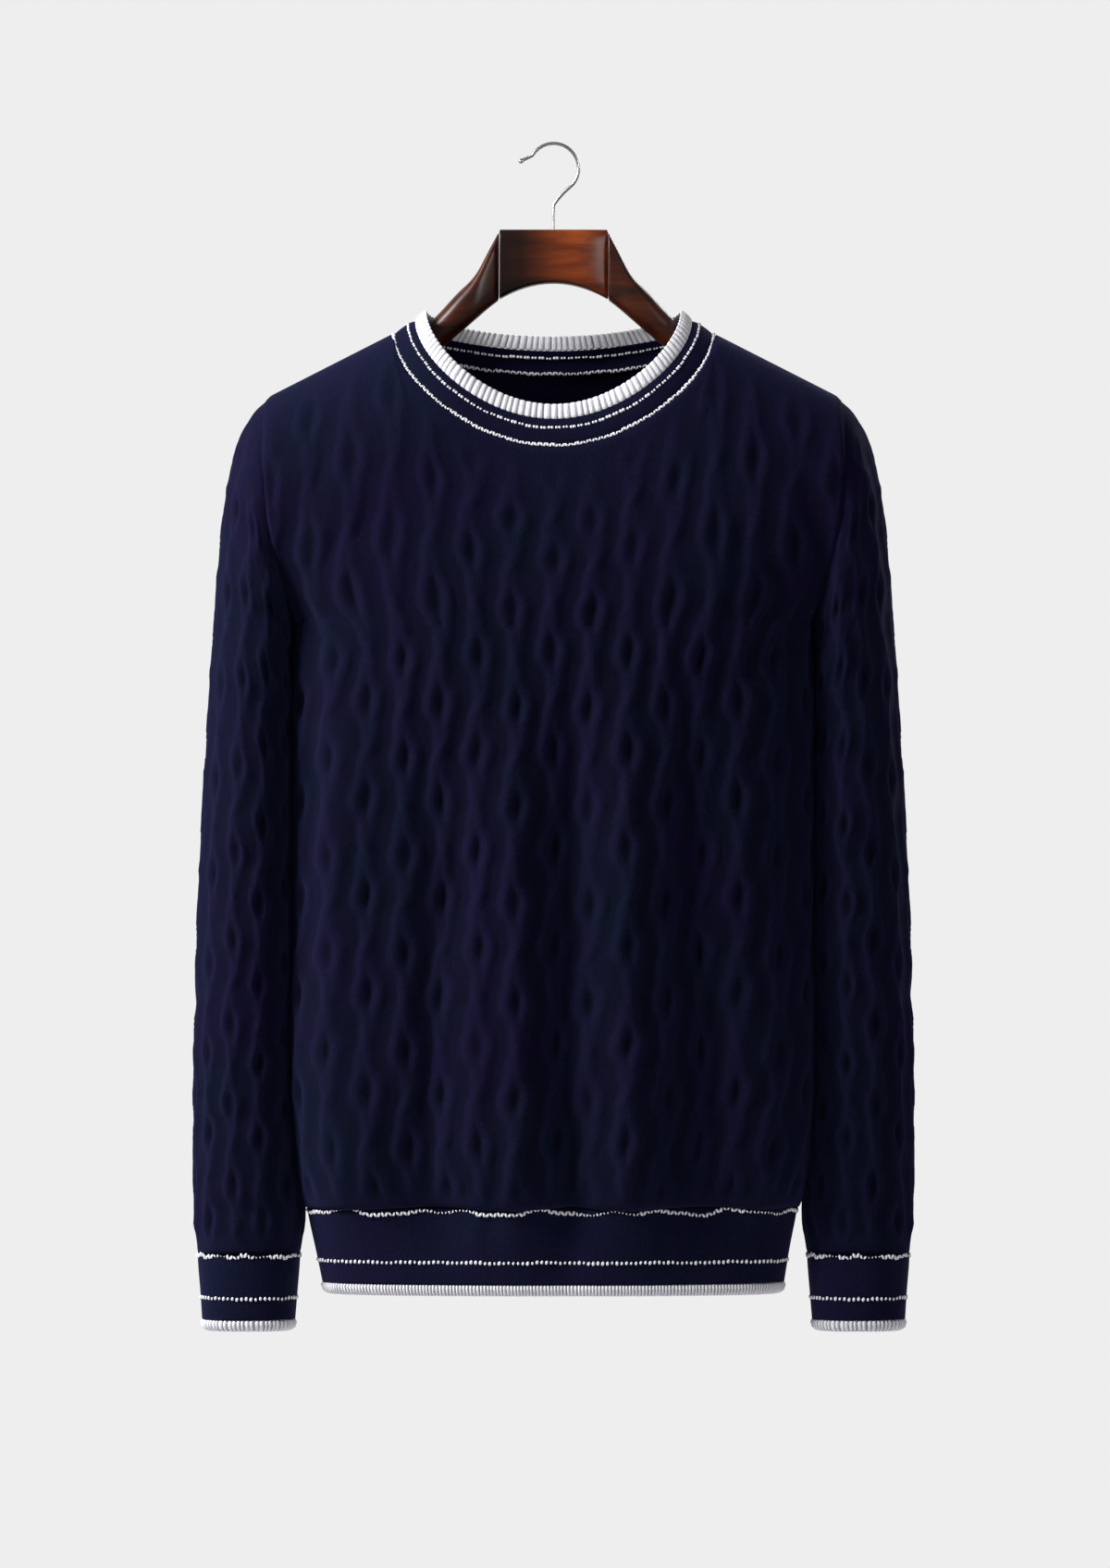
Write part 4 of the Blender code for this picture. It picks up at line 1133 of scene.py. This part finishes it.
def make_steel():
    """Polished steel wire, nickel bright, with faint drawing marks about 1 mm apart."""
    material, tree, shader = new_material("polished steel")
    shader.inputs["Base Color"].default_value = linear("#c6c3bf")
    shader.inputs["Metallic"].default_value = 1.0
    place = node(tree, "ShaderNodeTexCoord")
    marks = node(
        tree, "ShaderNodeTexNoise", [("Vector", place.outputs["Object"])],
        [("Scale", 900.0), ("Detail", 2.0)],
    )
    spread = node(
        tree, "ShaderNodeMapRange", [("Value", marks.outputs["Fac"])],
        [("To Min", 0.22), ("To Max", 0.34)],
    )
    tree.links.new(spread.outputs["Result"], shader.inputs["Roughness"])
    return material


# ---- the studio ----------------------------------------------------------------------

MM_PER_PIXEL = 0.668
PHOTO_HEIGHT = 1695
PHOTO_MIDDLE = (600.0, 847.5)
MOUNT_PIXEL = (598.5, 157.0)
LENS, SENSOR = 200.0, 36.0

FLOOR_Z, FLOOR_RADIUS = -1.25, 1.0
Lamp = namedtuple("Lamp", "name place aim_z size power colour")
LAMPS = [
    Lamp("key", (-2.15, -0.86, 0.95), -0.30, 1.3, 150, "#ffffff"),
    Lamp("rear", (1.6, 2.6, 0.9), -0.40, 1.4, 30, "#ffffff"),
    Lamp("strip", (2.4, -2.9, 0.5), -0.30, 0.9, 28, "#fffaf6"),
]


def add_camera():
    """Level with the middle of the garment, straight in front, as in a catalogue picture."""
    camera = bpy.data.objects.new("camera", bpy.data.cameras.new("camera"))
    camera.data.lens = LENS
    camera.data.sensor_width = SENSOR
    camera.data.clip_end = 50
    scale = MM_PER_PIXEL / 1000
    distance = LENS / SENSOR * PHOTO_HEIGHT * scale
    x = (PHOTO_MIDDLE[0] - MOUNT_PIXEL[0]) * scale
    z = (MOUNT_PIXEL[1] - PHOTO_MIDDLE[1]) * scale
    camera.location = (x, -distance, z)
    camera.rotation_euler = (math.pi / 2, 0, 0)
    bpy.context.scene.collection.objects.link(camera)
    bpy.context.scene.camera = camera


def add_lamp(lamp):
    """A soft round light aimed at the garment."""
    light = bpy.data.lights.new(lamp.name, "AREA")
    light.shape = "DISK"
    light.size = lamp.size
    light.energy = lamp.power
    light.color = linear(lamp.colour)[:3]
    placed = bpy.data.objects.new(lamp.name, light)
    placed.location = lamp.place
    aim = Vector((0, 0, lamp.aim_z)) - Vector(lamp.place)
    placed.rotation_euler = aim.to_track_quat("-Z", "Y").to_euler()
    bpy.context.scene.collection.objects.link(placed)


def add_backdrop():
    """A sweep of white paper behind the garment, and a dimmer room in front of it."""
    world = bpy.data.worlds.new("studio")
    world.use_nodes = True
    tree = world.node_tree
    place = node(tree, "ShaderNodeTexCoord")
    apart = node(tree, "ShaderNodeSeparateXYZ", [("Vector", place.outputs["Generated"])])
    dim, backdrop = (0.20, 0.20, 0.21, 1), linear("#eeeeee")
    behind = ramp(tree, apart.outputs["Y"], [(0.0, dim), (0.60, dim), (0.93, backdrop)])
    # The sweep of white paper shows behind the part from every side, but lights it from one.
    seen = node(tree, "ShaderNodeMix", data_type="RGBA")
    tree.links.new(node(tree, "ShaderNodeLightPath").outputs["Is Camera Ray"], seen.inputs[0])
    tree.links.new(behind, seen.inputs[6])
    seen.inputs[7].default_value = backdrop
    tree.links.new(seen.outputs[2], tree.nodes["Background"].inputs["Color"])
    bpy.context.scene.world = world
    bpy.context.scene.view_settings.view_transform = "Standard"


def add_floor():
    place = Matrix.Translation((0, 0, FLOOR_Z))
    floor_mesh = bmesh.new()
    bmesh.ops.create_circle(floor_mesh, cap_ends=True, segments=96, radius=FLOOR_RADIUS, matrix=place)
    data = bpy.data.meshes.new("floor")
    floor_mesh.to_mesh(data)
    floor_mesh.free()
    floor = bpy.data.objects.new("floor", data)
    pale, _, shader = new_material("pale floor")
    shader.inputs["Base Color"].default_value = linear("#dcdcdc")
    shader.inputs["Roughness"].default_value = 0.8
    data.materials.append(pale)
    bpy.context.scene.collection.objects.link(floor)


# ---- making --------------------------------------------------------------------------

# lines are the heights of the two white lines, waves how far the upper one winds up and
# down, and gaps how much smaller its stitches get where it breaks.
# The cuffs' ribs, really about 2.7 mm apart, are drawn 3.3 mm apart so that they show.
Trim = namedtuple("Trim", "name squareness band columns lines waves gaps rib ribs")
HEM = Trim("hem", 2.4, HEM_BAND, 524, (-0.7683, -0.8042), 0.0020, 0.40, HEM_RIB, 310)
CUFF = Trim("cuff", 2.1, CUFF_BAND, 144, (-0.8012, -0.8315), 0.0008, 0.62, CUFF_RIB, 60)



def make_hanger():
    """The wooden hanger and its hook. Returns the two arms, which carry the garment."""
    wood = make_wood()
    stations = rounded_stations(-BLOCK_HALF_WIDTH, BLOCK_HALF_WIDTH + 0.0002, 36)
    loft("hanger_block", stations, block_section, wood)
    arms = [make_arm("hanger_arm_left", -1, wood), make_arm("hanger_arm_right", 1, wood)]
    make_hook(make_steel())
    return arms


def make_tube_end(trim, side, hand, navy, white):
    """A band with its lines and its white tip, under the pieces above it."""
    tube = (trim.squareness, side)
    band, cut = make_band(f"{trim.name}_band{hand}", trim.band, *tube, trim.columns, navy)
    lines = make_ring_lines(
        f"{trim.name}_lines{hand}", trim.band, *tube, trim.lines, trim.waves, trim.gaps, white
    )
    edge, cut = make_ring_edge(f"{trim.name}_rib{hand}", trim.rib, *tube, trim.ribs, white)


def make_garment(arms):
    navy = make_knit(
        "navy merino knit",
        deep=linear("#0b0b1d"),
        light=linear("#11112a"),
        tints=((0.62, 1.00, 0.84, 1), (1.00, 0.70, 1.00, 1)),
        shade=(0.04, 0.09, 0.11, 1),
        sheen=linear("#7c7cd4"),
        sheen_weight=0.11,
        bump_depth=0.0006,
    )
    white = make_knit(
        "white merino knit",
        deep=linear("#d4d4da"),
        light=linear("#e6e6ea"),
        tints=((0.97, 0.97, 0.97, 1), (1.00, 1.00, 1.00, 1)),
        shade=(0.06, 0.06, 0.12, 1),
        sheen=linear("#ffffff"),
        sheen_weight=0.10,
        bump_depth=0.0003,
    )
    for name, facing in (("front_panel", -1), ("back_panel", 1)):
        panel = make_panel(name, facing, navy)
    for side, hand in ((-1, "_left"), (1, "_right")):
        sleeve = make_sleeve(f"sleeve{hand}", side, navy)
        make_tube_end(CUFF, side, hand, navy, white)
    make_tube_end(HEM, 1, "", navy, white)
    band, cut = make_neck_band(navy)
    lines = make_neck_lines(white)
    edge, cut = make_neck_rib(white)


add_camera()
make_garment(make_hanger())
add_backdrop()
for lamp in LAMPS:
    add_lamp(lamp)
add_floor()
